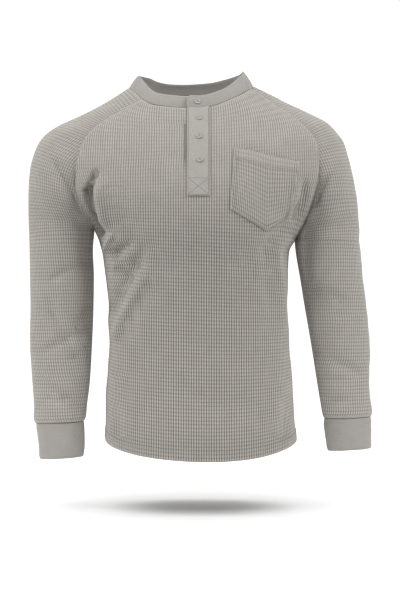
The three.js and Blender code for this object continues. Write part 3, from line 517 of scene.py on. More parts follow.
def arm_rows(side, knots):
    """Rows of a sleeve: 0..1 from cuff to armpit, 1..1+TOP up the raglan seams; each runs front, crown, back."""
    rows, half = ARM[side], SAMPLES // 2
    cols = {n: row_curve(rows, n) for n in rows[0]}
    c = seam[side]
    out = np.empty((len(knots), 2 * half + 1, 3))
    for r, k in enumerate(knots):
        flat = False
        if k > 1:
            t = k - 1
            a = np.array([c["fx"](t), c["fy"](t), c["fz"](t)], float)
            b = np.array([c["bx"](t), c["by"](t), c["bz"](t)], float)
            crown = np.array([c["tx"](t), c["ty"](t), c["tz"](t)], float)
            sw = float(c["swell"](t))
            flat = sw < 0
            da, db = abs(a[1] - crown[1]) + abs(sw), abs(b[1] - crown[1]) + abs(sw)
        else:
            t = (len(rows) - 1) * (1 - k)
            a = np.array([cols["ix"](t), cols["yc"](t), cols["iz"](t)], float)
            b = a.copy()
            crown = np.array([cols["ox"](t), cols["yc"](t), cols["oz"](t)], float)
            da = db = float(cols["deep"](t))
        front = half_arc(a, crown, max(da, 0.01), -1, half, flat)
        back = half_arc(b, crown, max(db, 0.01), 1, half, flat)
        out[r] = np.concatenate([front, back[::-1][1:]])
    return out


def spaced_knots(maker, step, top):
    """Knots whose rows are one step apart along the middle of the piece."""
    k = np.concatenate([np.linspace(0, 1, 60), 1 + np.linspace(0, TOP, 90)[1:]])
    mid = maker(k)[:, SAMPLES // 2]
    s = np.concatenate([[0], np.cumsum(np.linalg.norm(np.diff(mid, axis=0), axis=1))])
    count = max(3, int(round(s[-1] / step / 3)) * 3 + 1)
    return np.interp(np.linspace(0, s[-1], count), s, k), s[-1] / (count - 1)


# ---------------------------------------------------------------- mesh building
def make_object(name, verts_mm, faces, smooth=True, uv=None, painted_shade=None):
    me = bpy.data.meshes.new(name)
    v = np.asarray(verts_mm, float) / 1000
    quads = [f for f in faces]
    me.from_pydata(v.tolist(), [], quads)
    if painted_shade is not None:
        att = me.attributes.new("painted_shade", "FLOAT", "POINT")
        att.data.foreach_set("value", np.asarray(painted_shade, np.float32))
    if uv is not None:
        layer = me.uv_layers.new(name="UVMap")
        idx = np.empty(len(me.loops), np.int32)
        me.loops.foreach_get("vertex_index", idx)
        layer.data.foreach_set("uv", np.asarray(uv, np.float32)[idx].ravel())
    me.polygons.foreach_set("use_smooth", np.full(len(me.polygons), smooth))
    me.update()
    o = bpy.data.objects.new(name, me)
    bpy.context.scene.collection.objects.link(o)
    return o


def zip_rows(faces, ia, ka, ib, kb, flip):
    """Joins two rows of vertices whose keys are lattice numbers, ends at -inf and inf."""
    i = j = 0
    na, nb = len(ia) - 1, len(ib) - 1
    while i < na or j < nb:
        x = ka[i + 1] if i < na else None
        y = kb[j + 1] if j < nb else None
        if x is not None and y is not None and x == y:
            f = (ia[i], ia[i + 1], ib[j + 1], ib[j])
            i += 1
            j += 1
        elif y is None or (x is not None and x < y):
            f = (ia[i], ia[i + 1], ib[j])
            i += 1
        else:
            f = (ia[i], ib[j + 1], ib[j])
            j += 1
        faces.append(f[::-1] if flip else f)


def depths(on, p):
    """Groove and course depths and the grooves' shade; the knit is stretched flatter on the chest."""
    z = p[..., 2]
    if on == "trunk":
        low = ease(0, 1, (-160 - z) / 170)
        # the ribs open deeper where the armpits pull on them, and their grooves get more painted shade there
        pull = np.exp(-((p[..., 0] - 192) / 24) ** 2 - ((z + 222) / 50) ** 2) + np.exp(-((p[..., 0] + 150) / 26) ** 2 - ((z + 292) / 34) ** 2)
        pull = np.where(p[..., 1] < 0, pull, 0)
        return mix(1.05, 1.45, low) + 0.4 * pull, mix(0.18, 0.40, low), mix(0.53, 0.74, low) + 0.26 * pull + 0.02 * ease(0, 1, (-340 - z) / 140)
    low = ease(0, 1, (-100 - z) / 150)
    return mix(1.2, 1.05, low), mix(0.40, 0.40, low), mix(0.42, 0.52, low)


def cloth(name, base, on, outward, lists, step_b, hem=0.0, depth=1.0, mid=None, edge_lists=True, seams="both",
          wall=1.7, inner_every=9, lattice=True, shift_a=0.0, top_roll=True, foot_roll=True, seam_fade=8.0):
    """A waffle-knit shell over a grid of smooth form points.
    Ribs stand at equal arc lengths from the middle column, courses follow the rows."""
    mid = SAMPLES // 2 if mid is None else mid
    if on in ("trunk", "arm"):
        base = pushed(base)
    n0 = grid_normals(base, outward)
    # distance to the side edges along the row, so folds die at the seams
    seg = np.linalg.norm(np.diff(base, axis=1), axis=2)
    arc = np.concatenate([np.zeros((len(base), 1)), np.cumsum(seg, 1)], 1)
    to_edge = np.minimum(arc, arc[:, -1:] - arc)
    lift = fold_height(on, base, n0, lists) * ease(0, seam_fade, to_edge)
    if name in OWN_CREASES:
        lift = lift + crease_height(on, base, n0, OWN_CREASES[name])
    lift = lift + 0.9 * wander(base, 95, SEED + len(name)) * ease(0, 18, to_edge)
    p1 = base + n0 * lift[..., None]
    n1 = grid_normals(p1, outward)
    seg = np.linalg.norm(np.diff(p1, axis=1), axis=2)
    arc = np.concatenate([np.zeros((len(base), 1)), np.cumsum(seg, 1)], 1)
    arc = arc - arc[:, mid:mid + 1]
    rows, total_b = len(base), (len(base) - 1) * step_b
    verts, painted_shade, uvs, row_ids, row_keys, inner_ids, inner_keys = [], [], [], [], [], [], []
    inner_pts = []
    count = 0
    for r in range(rows):
        a0, a1 = arc[r, 0], arc[r, -1]
        if a1 - a0 < 3 * DA:
            k = np.array([], int)
        else:
            k = np.arange(math.ceil((a0 + 0.4 * DA - shift_a) / DA), math.floor((a1 - 0.4 * DA - shift_a) / DA) + 1)
        a = np.concatenate([[a0], k * DA + shift_a, [a1]])
        p = np.stack([np.interp(a, arc[r], p1[r, :, c]) for c in range(3)], -1)
        n = unit(np.stack([np.interp(a, arc[r], n1[r, :, c]) for c in range(3)], -1))
        edge = np.minimum(a - a0, a1 - a)
        b = r * step_b
        if seams == "none":
            fade = np.ones_like(a)
        else:
                fade = ease(0.2, 2.4, edge)
        ends = np.ones_like(a)
        if top_roll:
            ends = ends * ease(-0.5, 2.6, (rows - 1 - r) * step_b)
        if foot_roll:
            ends = ends * ease(-0.5, 2.0, r * step_b)
        in_groove_a = np.concatenate([[False], k % 3 == 0, [False]])
        in_groove_b = (r % 3 == 0)
        wale, course, deep_shade = depths(on, p)
        # each groove sinks, and deep_shade darkens its colour there as painted shade
        h = np.where(in_groove_a, -wale, 0.0)
        shade = np.where(in_groove_a, -deep_shade, 0.0)
        # beads dip between the courses, and swell in their middles; the dips also get painted shade
        if in_groove_b:
            h = h - course * np.where(in_groove_a, 0.5, 1.0)
            shade = shade - 0.36 * course / 0.45 * np.where(in_groove_a, 0.6, 1.0)
        soft_hem = 1.0
        if hem and b < hem:
            soft_hem = 0.95 if b < hem - 1.5 else 0.5
        h = h * depth * fade * ends * soft_hem
        dark = 1 + shade * fade * ends * soft_hem
        # painted shade: a little darker towards the hem, and much darker in the bottom corners by the side seams
        if hem:
            dark = dark * (1 - 0.09 * ease(70, 8, b) - 0.30 * np.exp(-(edge / 28) ** 2) * ease(130, 20, b))
        h = h - 0.1 * (1 - fade) - 0.4 * (1 - ends)
        if hem:
            h = h + 0.7 * ease(hem + 1.5, hem - 1.0, b) - 0.55 * math.exp(-((b - hem) / 1.3) ** 2)
        q = p + n * h[:, None]
        ids = np.arange(count, count + len(a))
        count += len(a)
        verts.append(q)
        painted_shade.append(np.clip(dark, 0, 1))
        uvs.append(np.stack([a, np.full_like(a, b)], -1))
        keys = [-1e9] + k.tolist() + [1e9]
        row_ids.append(ids.tolist())
        row_keys.append(keys)
        every = 1 if name == "back" and r >= rows - 9 else inner_every
        pick = [0] + [i + 1 for i, kk in enumerate(k.tolist()) if kk % every == 0] + [len(a) - 1]
        inner_pts.append((p[pick] - n[pick] * wall, uvs[-1][pick], [keys[i] for i in pick], every == 1))
    for pts, uvp, keys, fine in inner_pts:
        ids = list(range(count, count + len(pts)))
        count += len(pts)
        verts.append(pts)
        # the inside of the back's top rows, seen in the neck, gets the grooves' painted shade with its beads at three
        # quarters; the rest of the inside is one even mid tone
        if fine:
            painted_shade.append(np.array([0.0 if abs(kk) < 1e8 and kk % 3 == 0 else 0.75 for kk in keys]))
        else:
            painted_shade.append(np.full(len(pts), 0.55))
        uvs.append(uvp)
        inner_ids.append(ids)
        inner_keys.append(keys)
    flip = outward < 0
    faces = []
    for r in range(rows - 1):
        zip_rows(faces, row_ids[r], row_keys[r], row_ids[r + 1], row_keys[r + 1], flip)
        zip_rows(faces, inner_ids[r], inner_keys[r], inner_ids[r + 1], inner_keys[r + 1], not flip)
        # rims down both sides
        for end in (0, -1):
            a, b, c, d = row_ids[r][end], row_ids[r + 1][end], inner_ids[r + 1][end], inner_ids[r][end]
            f = (a, b, c, d) if end == 0 else (d, c, b, a)
            faces.append(f[::-1] if flip else f)
    for r, way in ((0, True), (rows - 1, False)):
        zip_rows(faces, inner_ids[r], inner_keys[r], row_ids[r], row_keys[r], flip != way) if False else \
            zip_rows(faces, row_ids[r], row_keys[r], inner_ids[r], inner_keys[r], flip != way)
    o = make_object(name, np.concatenate(verts), faces, True, np.concatenate(uvs), np.concatenate(painted_shade))
    return o, p1, n1, arc


# ---------------------------------------------------------------- materials
def srgb(r, g, b):
    f = lambda c: c / 12.92 if c <= 0.04045 else ((c + 0.055) / 1.055) ** 2.4
    return (f(r / 255), f(g / 255), f(b / 255), 1.0)


def nodes_of(m):
    m.use_nodes = True
    nt = m.node_tree
    nt.nodes.clear()
    out = nt.nodes.new("ShaderNodeOutputMaterial")
    bsdf = nt.nodes.new("ShaderNodeBsdfPrincipled")
    nt.links.new(bsdf.outputs[0], out.inputs[0])
    return nt, bsdf


def math_node(nt, op, a, b=None):
    n = nt.nodes.new("ShaderNodeMath")
    n.operation = op
    for i, v in enumerate((a, b)):
        if v is None:
            continue
        if isinstance(v, (int, float)):
            n.inputs[i].default_value = v
        else:
            nt.links.new(v, n.inputs[i])
    return n.outputs[0]


def knit_material(name, light, dark, inside, stitch=1.55, bump=0.25, sheen=0.12):
    """Knitted cotton: heathered yarn with painted shade down in the grooves, fine loops from the piece's own rib
    coordinates in mm.
    """
    m = bpy.data.materials.new(name)
    nt, bsdf = nodes_of(m)
    att = nt.nodes.new("ShaderNodeAttribute")
    att.attribute_name = "painted_shade"
    uv = nt.nodes.new("ShaderNodeUVMap")
    uv.uv_map = "UVMap"
    # heather: small flecks stretched along the yarn
    mapping = nt.nodes.new("ShaderNodeMapping")
    mapping.inputs["Scale"].default_value = (0.9, 0.35, 1.0)
    nt.links.new(uv.outputs[0], mapping.inputs[0])
    fleck = nt.nodes.new("ShaderNodeTexNoise")
    fleck.inputs["Scale"].default_value = 1.0
    fleck.inputs["Detail"].default_value = 2.0
    nt.links.new(mapping.outputs[0], fleck.inputs["Vector"])
    wide = nt.nodes.new("ShaderNodeTexNoise")
    wide.inputs["Scale"].default_value = 0.045
    wide.inputs["Detail"].default_value = 1.0
    nt.links.new(uv.outputs[0], wide.inputs["Vector"])
    # painted shade: the shade attribute mixes the darker groove colour into the yarn's
    mixer = nt.nodes.new("ShaderNodeMix")
    mixer.data_type = "RGBA"
    mixer.inputs[6].default_value = dark
    mixer.inputs[7].default_value = light
    nt.links.new(att.outputs["Fac"], mixer.inputs[0])
    tone = math_node(nt, "MULTIPLY_ADD", fleck.outputs[0], 0.6)
    tone.node.inputs[2].default_value = 0.70
    tone2 = math_node(nt, "MULTIPLY_ADD", wide.outputs[0], 0.12)
    tone2.node.inputs[2].default_value = 0.94
    both = math_node(nt, "MULTIPLY", tone, tone2)
    shade = nt.nodes.new("ShaderNodeVectorMath")
    shade.operation = "SCALE"
    nt.links.new(mixer.outputs[2], shade.inputs[0])
    nt.links.new(both, shade.inputs["Scale"])
    nt.links.new(shade.outputs[0], bsdf.inputs["Base Color"])
    # loops: crossed fine waves
    sep = nt.nodes.new("ShaderNodeSeparateXYZ")
    nt.links.new(uv.outputs[0], sep.inputs[0])
    wx = math_node(nt, "SINE", math_node(nt, "MULTIPLY", sep.outputs[0], 2 * math.pi / stitch))
    wy = math_node(nt, "SINE", math_node(nt, "MULTIPLY", sep.outputs[1], 2 * math.pi / (stitch * 0.72)))
    h = math_node(nt, "ADD", math_node(nt, "MULTIPLY", wx, 0.5), math_node(nt, "MULTIPLY", wy, 0.5))
    h = math_node(nt, "ADD", h, math_node(nt, "MULTIPLY", fleck.outputs[0], 2.0))
    b = nt.nodes.new("ShaderNodeBump")
    b.inputs["Strength"].default_value = bump
    b.inputs["Distance"].default_value = 0.0003
    nt.links.new(h, b.inputs["Height"])
    nt.links.new(b.outputs[0], bsdf.inputs["Normal"])
    bsdf.inputs["Roughness"].default_value = 0.95
    bsdf.inputs["Specular IOR Level"].default_value = 0.15
    bsdf.inputs["Sheen Weight"].default_value = sheen
    bsdf.inputs["Sheen Roughness"].default_value = 0.6
    return m


# the yarn's colour on the beads, and the darker groove colour, which is painted shade
LIGHT = srgb(178, 173, 167)
GROOVE_SHADE_COLOUR = srgb(76, 73, 68)
RIBC = srgb(158, 154, 149)
waffle = knit_material("waffle_knit", LIGHT, GROOVE_SHADE_COLOUR, GROOVE_SHADE_COLOUR)
# lit and shaded copies of the rib knit: the placket's painted 14 % lighter for the light it faces, the cuffs' 5 %
# darker as painted shade
rib_lit_placket = knit_material("rib_knit_placket_lit", tuple(c * 1.14 for c in RIBC[:3]) + (1.0,), tuple(c * 0.6 for c in RIBC[:3]) + (1.0,), GROOVE_SHADE_COLOUR, stitch=1.15, bump=0.22)
rib_shaded_cuff = knit_material("rib_knit_cuff_shaded", tuple(c * 0.95 for c in RIBC[:3]) + (1.0,), tuple(c * 0.57 for c in RIBC[:3]) + (1.0,), GROOVE_SHADE_COLOUR, stitch=1.15, bump=0.22)
rib = knit_material("rib_knit", RIBC, tuple(c * 0.6 for c in RIBC[:3]) + (1.0,), GROOVE_SHADE_COLOUR, stitch=1.15, bump=0.22)


def plain_material(name, colour, rough, spec=0.3):
    m = bpy.data.materials.new(name)
    nt, bsdf = nodes_of(m)
    bsdf.inputs["Base Color"].default_value = colour
    bsdf.inputs["Roughness"].default_value = rough
    bsdf.inputs["Specular IOR Level"].default_value = spec
    return m


thread = plain_material("thread", srgb(176, 172, 165), 0.85, 0.15)
seam_thread = plain_material("seam_thread", srgb(118, 114, 108), 0.9, 0.1)


def button_material():
    m = bpy.data.materials.new("button")
    nt, bsdf = nodes_of(m)
    tc = nt.nodes.new("ShaderNodeTexCoord")
    noise = nt.nodes.new("ShaderNodeTexNoise")
    noise.inputs["Scale"].default_value = 320.0
    noise.inputs["Detail"].default_value = 3.0
    nt.links.new(tc.outputs["Object"], noise.inputs["Vector"])
    mixer = nt.nodes.new("ShaderNodeMix")
    mixer.data_type = "RGBA"
    mixer.inputs[6].default_value = srgb(156, 152, 147)
    mixer.inputs[7].default_value = srgb(174, 170, 165)
    nt.links.new(noise.outputs[0], mixer.inputs[0])
    nt.links.new(mixer.outputs[2], bsdf.inputs["Base Color"])
    bsdf.inputs["Roughness"].default_value = 0.38
    return m


button_mat = button_material()


def declare(o, replaced, mat):
    o.data.materials.append(mat)
    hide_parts(*([replaced] if isinstance(replaced, str) else replaced))
    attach(o, "root")
    return o


def extra(o, mat):
    o.data.materials.append(mat)
    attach(o, "root")
    return o


# ---------------------------------------------------------------- body panels
def panel(face, name):
    global _row_step
    knots, step = spaced_knots(lambda k: panel_rows(face, k), DB, TOP)
    base = panel_rows(face, knots)
    outward = 1 if face < 0 else -1
    o, p1, n1, arc = cloth(name, base, "trunk", outward, (FOLDS,), step, hem=22.0, shift_a=0.0, inner_every=12)
    return o, p1, n1, arc, knots, step


front, front_p, front_n, front_arc, front_knots, front_step = panel(-1, "front")
back, back_p, back_n, back_arc, back_knots, back_step = panel(1, "back")
declare(front, "front", waffle)
declare(back, "back", waffle)


# ---------------------------------------------------------------- sleeves
def sleeve(side, name):
    knots, step = spaced_knots(lambda k: arm_rows(side, k), DB, TOP)
    base = arm_rows(side, knots)
    outward = -1 if side == "left" else 1
    return cloth(name, base, "arm", outward, (FOLDS,), step, shift_a=0.5 * RIB, foot_roll=True)


sleeve_l, arm_l_p, arm_l_n, arm_l_arc = sleeve("left", "sleeve_right")
sleeve_r, arm_r_p, arm_r_n, arm_r_arc = sleeve("right", "sleeve_left")
declare(sleeve_l, "sleeve_right", waffle)
declare(sleeve_r, "sleeve_left", waffle)


# ---------------------------------------------------------------- points on the finished front, for what lies on it
def laid(x, z, lift):
    """Points and normals on the front at x, z, moved out by lift."""
    x, z = np.broadcast_arrays(np.asarray(x, float), np.asarray(z, float))
    e = 1.5

    def form(x, z):
        return pushed(np.stack([x, trunk_y(x, z, -1), z], -1))

    def folded(x, z):
        p = form(x, z)
        n = unit(np.cross(form(x + e, z) - form(x - e, z), form(x, z + e) - form(x, z - e)))
        n = np.where(n[..., 1:2] > 0, -n, n)
        h = fold_height("trunk", p, n, (FOLDS,)) + 0.9 * wander(p, 95, SEED + len("front"))
        return p + n * h[..., None]
    p = folded(x, z)
    n = unit(np.cross(folded(x + e, z) - folded(x - e, z), folded(x, z + e) - folded(x, z - e)))
    n = np.where(n[..., 1:2] > 0, -n, n)
    return p + n * np.asarray(lift, float)[..., None], n


def closed_profile(name, centre, offsets, ring=False, uv_len=None, caps=True, painted_shade=None):
    """centre: (rows, 3) unused; offsets: (rows, around, 3) points of a closed section swept along rows."""
    pts = offsets
    rows, around = pts.shape[:2]
    verts = pts.reshape(-1, 3)
    along = np.concatenate([[0], np.cumsum(np.linalg.norm(np.diff(pts[:, 0], axis=0), axis=1))])
    girth = np.concatenate([[0], np.cumsum(np.linalg.norm(np.diff(pts[rows // 2], axis=0), axis=1))])
    uv = np.stack(np.broadcast_arrays(along[:, None], girth[None, :]), -1).reshape(-1, 2)
    faces = []
    last = rows if ring else rows - 1
    for r in range(last):
        for c in range(around):
            a, b = r * around + c, r * around + (c + 1) % around
            d, e = ((r + 1) % rows) * around + c, ((r + 1) % rows) * around + (c + 1) % around
            faces.append((a, b, e, d))
    if caps and not ring:
        faces.append(tuple(range(around))[::-1])
        faces.append(tuple((rows - 1) * around + i for i in range(around)))
    o = make_object(name, verts, faces, True, uv, np.ones(len(verts)) if painted_shade is None else painted_shade)
    return o


def face_out(o):
    """Turns a closed mesh's faces outward."""
    me = o.data
    co = np.array([v.co[:] for v in me.vertices])
    vol = 0.0
    for p in me.polygons:
        v = p.vertices
        for i in range(1, len(v) - 1):
            vol += np.dot(co[v[0]], np.cross(co[v[i]], co[v[i + 1]]))
    if vol < 0:
        me.flip_normals()
    return o


# ---------------------------------------------------------------- neckband
band_rise = lookup(BAND, "turn", "rise")
band_lean = lookup(BAND, "turn", "lean")


def neck_loop():
    f = front_base_top[::-1]
    la, ra = arm_l_top, arm_r_top[::-1]
    return f, la, back_base_top, ra


front_base_top = panel_rows(-1, [1 + TOP])[0]
back_base_top = panel_rows(1, [1 + TOP])[0]
arm_l_top = arm_rows("left", [1 + TOP])[0]
arm_r_top = arm_rows("right", [1 + TOP])[0]


def at_front(x):
    f = front_base_top
    return np.stack([np.interp(x, f[:, 0], f[:, c]) for c in range(3)], -1)


def band_frame(p):
    away = np.stack([p[..., 0] - NECK_CENTRE["x"], (p[..., 1] - NECK_CENTRE["y"]) * 1.35, np.zeros(p.shape[:-1])], -1)
    turn = np.degrees(np.arctan2(away[..., 1], away[..., 0]))
    away = unit(away)
    up = np.stack([np.zeros_like(turn), np.zeros_like(turn), band_rise(turn)], -1) - away * band_lean(turn)[..., None]
    side = unit(np.stack([-away[..., 1], away[..., 0], np.zeros_like(turn)], -1))
    n = unit(np.cross(up, side))
    n = np.where(np.sum(n * away, -1, keepdims=True) < 0, -n, n)
    return away, up, n


def resample(path, step):
    s = np.concatenate([[0], np.cumsum(np.linalg.norm(np.diff(path, axis=0), axis=1))])
    keep = np.concatenate([[True], np.diff(s) > 1e-6])
    path, s = path[keep], s[keep]
    q = np.linspace(0, s[-1], int(s[-1] / step) + 1)
    return np.stack([np.interp(q, s, path[:, c]) for c in range(3)], -1), q


def smooth_path(p, times):
    for _ in range(times):
        q = p.copy()
        q[1:-1] = 0.25 * p[:-2] + 0.5 * p[1:-1] + 0.25 * p[2:]
        p = q
    return p


def build_band():
    f, la, b, ra = neck_loop()
    under, tab, fade = BAND_OVERLAP["under"], BAND_OVERLAP["tab"], BAND_OVERLAP["fade"]
    first = f[f[:, 0] < under]
    loop = np.concatenate([at_front(np.array([under])), first, la[1:-1], b, ra[1:-1]])
    lastp = f[f[:, 0] > tab]
    n_first = None
    path = np.concatenate([loop, lastp, at_front(np.array([tab]))])
    path, s = resample(path, 1.4)
    path = smooth_path(path, 40)
    # which pass over the front: before the far side of the loop or after
    half = s < s[-1] * 0.5
    away, up, n = band_frame(path)
    x = path[:, 0]
    is_front = path[:, 1] < 0
    tuck = np.where(half & is_front, (RIB_WALL + 0.9) * ease(tab - fade, tab - 4, x), 0)
    out = np.where(~half & is_front, 1.1 * (1 - ease(under, under + fade, x)), 0)
    # a little unevenness of a worn band
    wob = 0.5 * wander(path, 60, 3) * ease(0, 25, np.minimum(s, s[-1] - s))
    t = s[-1] - s
    corner = 1 - 0.30 * np.exp(-(t / 3.2) ** 2)
    H = 12
    prof = []
    hs = np.linspace(0, 1, H + 1)
    half_wall = RIB_WALL / 2
    for h in hs:
        prof.append((h, 1.0, 1))
    top = [(1.0, 0.45, 2), (1.0, -0.45, 2)]
    pts = []
    for h in hs:                                   # outer face up
        hh = h * np.where(h > 0.5, 1 + (corner - 1) * (h - 0.5) * 2, 1)
        bulge = 1.1 * math.sin(math.pi * h) - 0.55 * math.exp(-(h / 0.05) ** 2) - 0.8 * math.exp(-((1 - h) / 0.045) ** 2)
        pts.append(path + up * (0.0 + 1.0 * hh)[:, None] + n * (bulge - tuck + out + wob)[:, None])
    roll = path + up * corner[:, None] + up / np.linalg.norm(up, axis=1, keepdims=True) * 0.55 + n * (-half_wall - tuck + out + wob)[:, None]
    pts.append(roll)
    for h in hs[::-1]:
        hh = h * np.where(h > 0.5, 1 + (corner - 1) * (h - 0.5) * 2, 1)
        bulge = 1.1 * math.sin(math.pi * h) + 0.8 * math.exp(-((1 - h) / 0.045) ** 2)
        pts.append(path + up * hh[:, None] + n * (bulge - RIB_WALL - tuck + out + wob)[:, None])
    pts = np.stack(pts, 1)
    o = closed_profile("neckband", None, pts)
    face_out(o)
    return o, path, up, n, s, tuck, out


band, band_path, band_up, band_n, band_s, band_tuck, band_out = build_band()
declare(band, "neckband", rib)


# ---------------------------------------------------------------- placket
neck_front = lookup(NECK["front"], "x", "z")


def strip(name, x0, x1, top, foot, lift, thick, roll=0.7, waves=0.0):
    cols, rws = 26, 110
    u = np.linspace(0, 1, cols + 1)
    v = np.linspace(0, 1, rws + 1)
    U, V = np.meshgrid(u, v)
    X = mix(x0, x1, U)
    Z = mix(foot, top(X), V)
    X = X + waves * np.sin(V * 9.0 + 0.7) * (U - 0.5)
    edge = np.minimum(U, 1 - U) * (x1 - x0)
    foot_d = V * 160
    drop = thick * 0.5 * (np.exp(-(edge / roll) ** 2) + np.exp(-(foot_d / 1.0) ** 2) * 0.8)
    po, no = laid(X, Z, lift + thick - np.minimum(drop, thick * 0.5))
    pi, _ = laid(X, Z, lift + np.minimum(drop * 0.6, thick * 0.4))
    rows = []
    for r in range(rws + 1):
        rows.append(np.concatenate([po[r], pi[r][::-1]]))
    o = closed_profile(name, None, np.stack(rows))
    face_out(o)
    return o


placket = strip("placket", PLACKET["left"], PLACKET["right"], lambda x: neck_front(x) + 0.4, PLACKET["foot"], 0.55, 1.9)
declare(placket, "placket", rib_lit_placket)
placket_under = strip("placket_under", PLACKET["left"] + 4, PLACKET["right"] + 5, lambda x: neck_front(x) - 1.5, PLACKET["foot"] + 6,
                      -(2 * WALL + LAY_GAP + 0.3), 1.6)
declare(placket_under, "placket_under", rib)


# ---------------------------------------------------------------- pocket
def pocket_outline():
    at = {n: lookup(POCKET, "across", n) for n in ("topX", "topZ")}
    ac = np.array([r["across"] for r in POCKET], float)
    fx = np.array([r["footX"] for r in POCKET], float)
    fz = np.array([r["footZ"] for r in POCKET], float)

    def at_share(t, h):
        footx, footz = np.interp(t, ac, fx), np.interp(t, ac, fz)
        return mix(footx, at["topX"](t), h), mix(footz, at["topZ"](t), h)
    return at_share


def build_pocket():
    share = pocket_outline()
    rows = 49
    h = np.linspace(0, 1, rows)
    t = np.linspace(0, 1, 241)
    T, Hh = np.meshgrid(t, h)
    X, Z = share(T, Hh)
    gape = 1.3 * np.sin(np.pi * T) * ease(0.75, 1, Hh)
    P, N = laid(X, Z, LAY_GAP + 0.5 + gape + 1.6)
    # distances to the edges
    seg = np.linalg.norm(np.diff(P, axis=1), axis=2)
    arc = np.concatenate([np.zeros((rows, 1)), np.cumsum(seg, 1)], 1)
    a_off = arc - arc[:, 120:121]
    height = np.linalg.norm(P[-1] - P[0], axis=1)
    foot_d = Hh * height[None, :]
    top_d = (1 - Hh) * height[None, :]
    verts, painted_shade, uvs, ids_o, keys_o, ids_i, keys_i = [], [], [], [], [], [], []
    count = 0
    inner = []
    band_w = 17.5
    for r in range(rows):
        a0, a1 = a_off[r, 0], a_off[r, -1]
        k = np.arange(math.ceil((a0 + 0.4 * DA) / DA), math.floor((a1 - 0.4 * DA) / DA) + 1)
        a = np.concatenate([[a0], k * DA, [a1]])
        interp = lambda g: np.interp(a, a_off[r], g[r])
        p = np.stack([np.interp(a, a_off[r], P[r, :, c]) for c in range(3)], -1)
        n = unit(np.stack([np.interp(a, a_off[r], N[r, :, c]) for c in range(3)], -1))
        ed = np.minimum(a - a0, a1 - a)
        fd, td = interp(foot_d), interp(top_d)
        near = np.minimum(ed, fd)
        ga = np.concatenate([[False], k % 3 == 0, [False]])
        hgt = np.where(ga, -0.95, 0.0) - (0.28 if r % 3 == 0 else 0.0) * np.where(ga, 0.5, 1.0)
        # painted shade: the grooves and course lines darkened, and the smooth edges and top band a little darker too
        groove_shade = np.where(ga, -0.54, 0.0) - (0.2 if r % 3 == 0 else 0.0)
        smooth = ease(0.8, 3.0, near)
        in_band = ease(band_w + 1.2, band_w - 1.2, td)
        soft = smooth * mix(1.0, 0.6, in_band)
        hgt = hgt * soft
        dark = 1 + groove_shade * soft - 0.08 * (1 - soft)
        hgt = hgt + 0.2 * in_band - 0.45 * np.exp(-((td - band_w) / 1.1) ** 2) - 0.9 * np.exp(-(near / 0.7) ** 2) \
            - 0.25 * np.exp(-((near - 3.2) / 0.8) ** 2) - 0.7 * np.exp(-(td / 0.8) ** 2)
        verts.append(p + n * hgt[:, None])
        painted_shade.append(np.clip(dark, 0, 1))
        uvs.append(np.stack([a, fd], -1))
        keys = [-1e9] + k.tolist() + [1e9]
        ids_o.append(list(range(count, count + len(a))))
        keys_o.append(keys)
        count += len(a)
        pick = [0] + [i + 1 for i, kk in enumerate(k.tolist()) if kk % 6 == 0] + [len(a) - 1]
        inner.append((p[pick] - n[pick] * 1.7, uvs[-1][pick], [keys[i] for i in pick]))
    for pts, uvp, keys in inner:
        ids_i.append(list(range(count, count + len(pts))))
        keys_i.append(keys)
        count += len(pts)
        verts.append(pts)
        painted_shade.append(np.full(len(pts), 0.6))
        uvs.append(uvp)
    faces = []
    for r in range(rows - 1):
        zip_rows(faces, ids_o[r], keys_o[r], ids_o[r + 1], keys_o[r + 1], False)
        zip_rows(faces, ids_i[r], keys_i[r], ids_i[r + 1], keys_i[r + 1], True)
        for end in (0, -1):
            a, b, c, d = ids_o[r][end], ids_o[r + 1][end], ids_i[r + 1][end], ids_i[r][end]
            faces.append((a, b, c, d) if end == 0 else (d, c, b, a))
    zip_rows(faces, ids_o[0], keys_o[0], ids_i[0], keys_i[0], True)
    zip_rows(faces, ids_o[-1], keys_o[-1], ids_i[-1], keys_i[-1], False)
    return make_object("pocket", np.concatenate(verts), faces, True, np.concatenate(uvs), np.concatenate(painted_shade)), P, N, share


pocket, pocket_p, pocket_n, pocket_share = build_pocket()
declare(pocket, "pocket", waffle)


